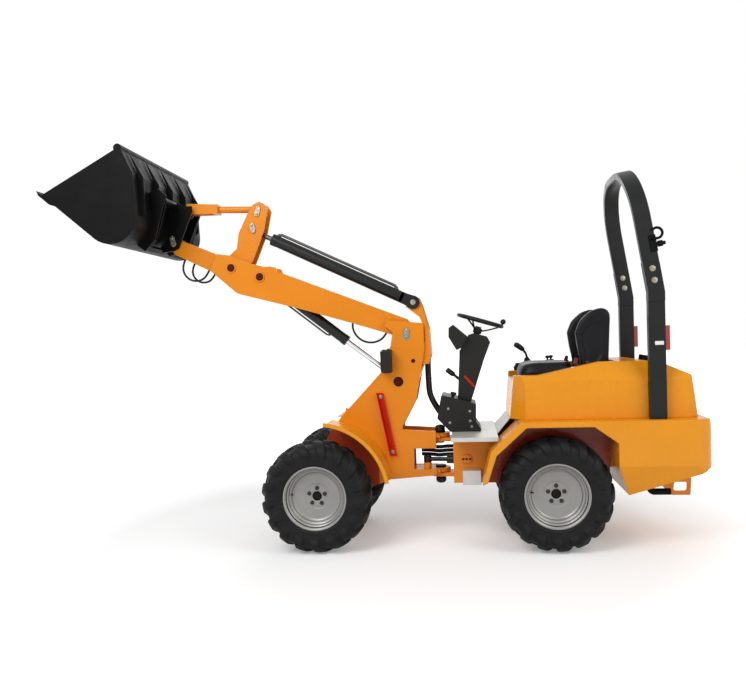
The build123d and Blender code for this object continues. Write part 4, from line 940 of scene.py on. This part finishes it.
def make_cord(name, points, diameter, body, other=None):
    """Round hose on one smooth spline, carried by a body.

    A hose between two bodies becomes a fixed mesh that runs from the one to the other, carried by neither."""
    curve = bpy.data.curves.new(name, "CURVE")
    curve.dimensions = "3D"
    line = curve.splines.new("NURBS")
    line.points.add(len(points) - 1)
    line.points.foreach_set("co", np.hstack([points, np.ones((len(points), 1))]).ravel())
    line.order_u = 3
    line.use_endpoint_u = True
    line.resolution_u = 12
    plain = bpy.data.objects.new(name, curve)
    bpy.context.scene.collection.objects.link(plain)
    bpy.context.view_layer.update()
    path = bpy.data.meshes.new_from_object(plain)
    at = np.empty(3 * len(path.vertices))
    path.vertices.foreach_get("co", at)
    at = at.reshape(-1, 3)
    bpy.data.meshes.remove(path)
    curve.bevel_depth = diameter / 2
    curve.bevel_resolution = 5
    curve.use_fill_caps = True
    curve.materials.append(HOSE_RUBBER)
    if other:
        hose = bpy.data.objects.new(name + "_between", bpy.data.meshes.new_from_object(plain))
        bpy.context.scene.collection.objects.link(hose)
        bpy.data.objects.remove(plain)
        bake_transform(hose)
    else:
        hose = plain
        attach(hose, body)


def on_boom(along_boom, above):
    """Point in the boom's own axes, from its pivot."""
    c, s = cos(BOOM_SLOPE), sin(BOOM_SLOPE)
    return BOOM_PIVOT + np.array((along_boom * c - above * s, 0, along_boom * s + above * c))


TIP_TOE, TIP_HEEL = on_boom(1.514, -0.087), on_boom(1.829, -0.070)
TIP_SLOPE = atan2(TIP_HEEL[2] - TIP_TOE[2], TIP_HEEL[0] - TIP_TOE[0])
# name, face's start and slope, way along it, loop's width and drop, place across
LOOPS = (
    ("front_tip_hose", TIP_TOE, TIP_SLOPE, 0.040, 0.200, 0.024, 0.034),
    ("rear_tip_hose", TIP_TOE, TIP_SLOPE, 0.012, 0.176, 0.027, -0.034),
    ("tower_hose", on_boom(0, 0.036), BOOM_SLOPE, 0.140, 0.270, 0.050, 0.062),
)
for name, *loop in LOOPS:
    make_cord(name, loop_points(*loop), HOSE_DIAMETER, "boom")
bundle = [spot(0.853, 1.314), spot(0.853, 1.090), spot(0.836, 0.985), spot(0.772, 0.890)]
make_cord("hose_bundle", np.array(bundle), BUNDLE_DIAMETER, "front")
for number, z in enumerate((0.632, 0.602, 0.572)):
    run = [spot(0.670, z, -0.060), spot(0.730, z, -0.060), spot(0.790, z - 0.008, -0.065),
           spot(0.850, z, -0.075), spot(0.920, z, -0.086)]
    make_cord(f"joint_hose_{number + 1}", np.array(run), JOINT_DIAMETER, "rear", "front")


# Stage: floor, light and camera

FLOOR_GLOW = 0.20
FLOOR_FADE = (2.0, 4.6)


def seen_directly(tree):
    """One where the camera or a reflection looks at a surface, zero where the surface only gives light."""
    path = tree.nodes.new("ShaderNodeLightPath")
    first = reckon(tree, "MAXIMUM", path.outputs["Is Camera Ray"], path.outputs["Is Glossy Ray"])
    return reckon(tree, "MAXIMUM", first, path.outputs["Is Transmission Ray"])


def make_floor():
    """Wide flat disc under the wheels, pale as paper, which fades to white away from the loader."""
    ring = np.array([0.0, 6.0, 40.0])
    angle = np.arange(64) * 2 * pi / 64
    level = np.full((len(ring), len(angle)), -0.001)
    points = np.stack([np.outer(ring, np.cos(angle)), np.outer(ring, np.sin(angle)), level], -1)
    verts, quads = skin(points, loop_v=True)
    mesh = bpy.data.meshes.new("studio_floor")
    mesh.from_pydata(verts.tolist(), [], quads.tolist())
    floor = bpy.data.objects.new("studio_floor", mesh)
    bpy.context.scene.collection.objects.link(floor)
    material = bpy.data.materials.new("paper_floor")
    material.use_nodes = True
    tree = material.node_tree
    shader = tree.nodes["Principled BSDF"]
    shader.inputs["Base Color"].default_value = (0.93, 0.93, 0.93, 1)
    shader.inputs["Roughness"].default_value = 0.9
    shader.inputs["Specular IOR Level"].default_value = 0.1
    shader.inputs["Emission Color"].default_value = (1, 1, 1, 1)
    away = tree.nodes.new("ShaderNodeVectorMath")
    away.operation = "LENGTH"
    link(tree, object_place(tree), away.inputs[0])
    glow = spread(tree, away.outputs["Value"], *FLOOR_FADE, FLOOR_GLOW, 1.0)
    link(tree, reckon(tree, "MULTIPLY", glow, seen_directly(tree)), shader.inputs["Emission Strength"])
    mesh.materials.append(material)


def make_world(shown=1.0, light=0.35):
    """White where the camera and reflections look, softer as a light."""
    world = bpy.data.worlds.new("studio_white")
    bpy.context.scene.world = world
    world.use_nodes = True
    tree = world.node_tree
    back = tree.nodes["Background"]
    back.inputs["Color"].default_value = (1, 1, 1, 1)
    link(tree, spread(tree, seen_directly(tree), 0, 1, light, shown), back.inputs["Strength"])


def make_lamp(name, place, target, size, power):
    """Square soft lamp that looks at a target."""
    data = bpy.data.lights.new(name, "AREA")
    data.size = size
    data.energy = power
    lamp = bpy.data.objects.new(name, data)
    lamp.location = place
    lamp.rotation_euler = (Vector(target) - Vector(place)).to_track_quat("-Z", "Y").to_euler()
    bpy.context.scene.collection.objects.link(lamp)


PHOTO_SIZE = (746, 686)
CAMERA_PLACE = (-0.6554, 5.3531, 1.4845)
CAMERA_TURN = 0.0892
CAMERA_PITCH = -0.0199
CAMERA_ROLL = -0.0288
FOCAL_PIXELS = 731.8
OPTICAL_CENTRE = (401.8, 346.6)


def make_camera():
    """Camera along -Y, turned towards +X, pitched and rolled, with the photograph's optical centre."""
    ahead = Vector((sin(CAMERA_TURN), -cos(CAMERA_TURN), 0)) * cos(CAMERA_PITCH)
    ahead.z = sin(CAMERA_PITCH)
    level = ahead.cross(Vector((0, 0, 1))).normalized()
    up = level.cross(ahead)
    right = level * cos(CAMERA_ROLL) + up * sin(CAMERA_ROLL)
    top = up * cos(CAMERA_ROLL) - level * sin(CAMERA_ROLL)
    data = bpy.data.cameras.new("photo_camera")
    data.sensor_width = 36
    data.lens = FOCAL_PIXELS * data.sensor_width / PHOTO_SIZE[0]
    data.shift_x = (PHOTO_SIZE[0] / 2 - OPTICAL_CENTRE[0]) / PHOTO_SIZE[0]
    data.shift_y = (OPTICAL_CENTRE[1] - PHOTO_SIZE[1] / 2) / PHOTO_SIZE[0]
    camera = bpy.data.objects.new("photo_camera", data)
    turn = Matrix((right, top, -ahead)).transposed().to_4x4()
    camera.matrix_world = Matrix.Translation(CAMERA_PLACE) @ turn
    bpy.context.scene.collection.objects.link(camera)
    bpy.context.scene.camera = camera


make_floor()
make_world()
make_lamp("key_lamp", (2.5, 4.5, 5.0), (0, 0, 0.9), 3.5, 230)
make_lamp("fill_lamp", (-4.5, 3.0, 3.5), (-0.5, 0, 0.9), 3.0, 90)
make_lamp("back_lamp", (0.0, -5.0, 4.5), (0, 0, 1.0), 4.0, 90)
make_camera()
bpy.context.scene.view_settings.view_transform = "Standard"
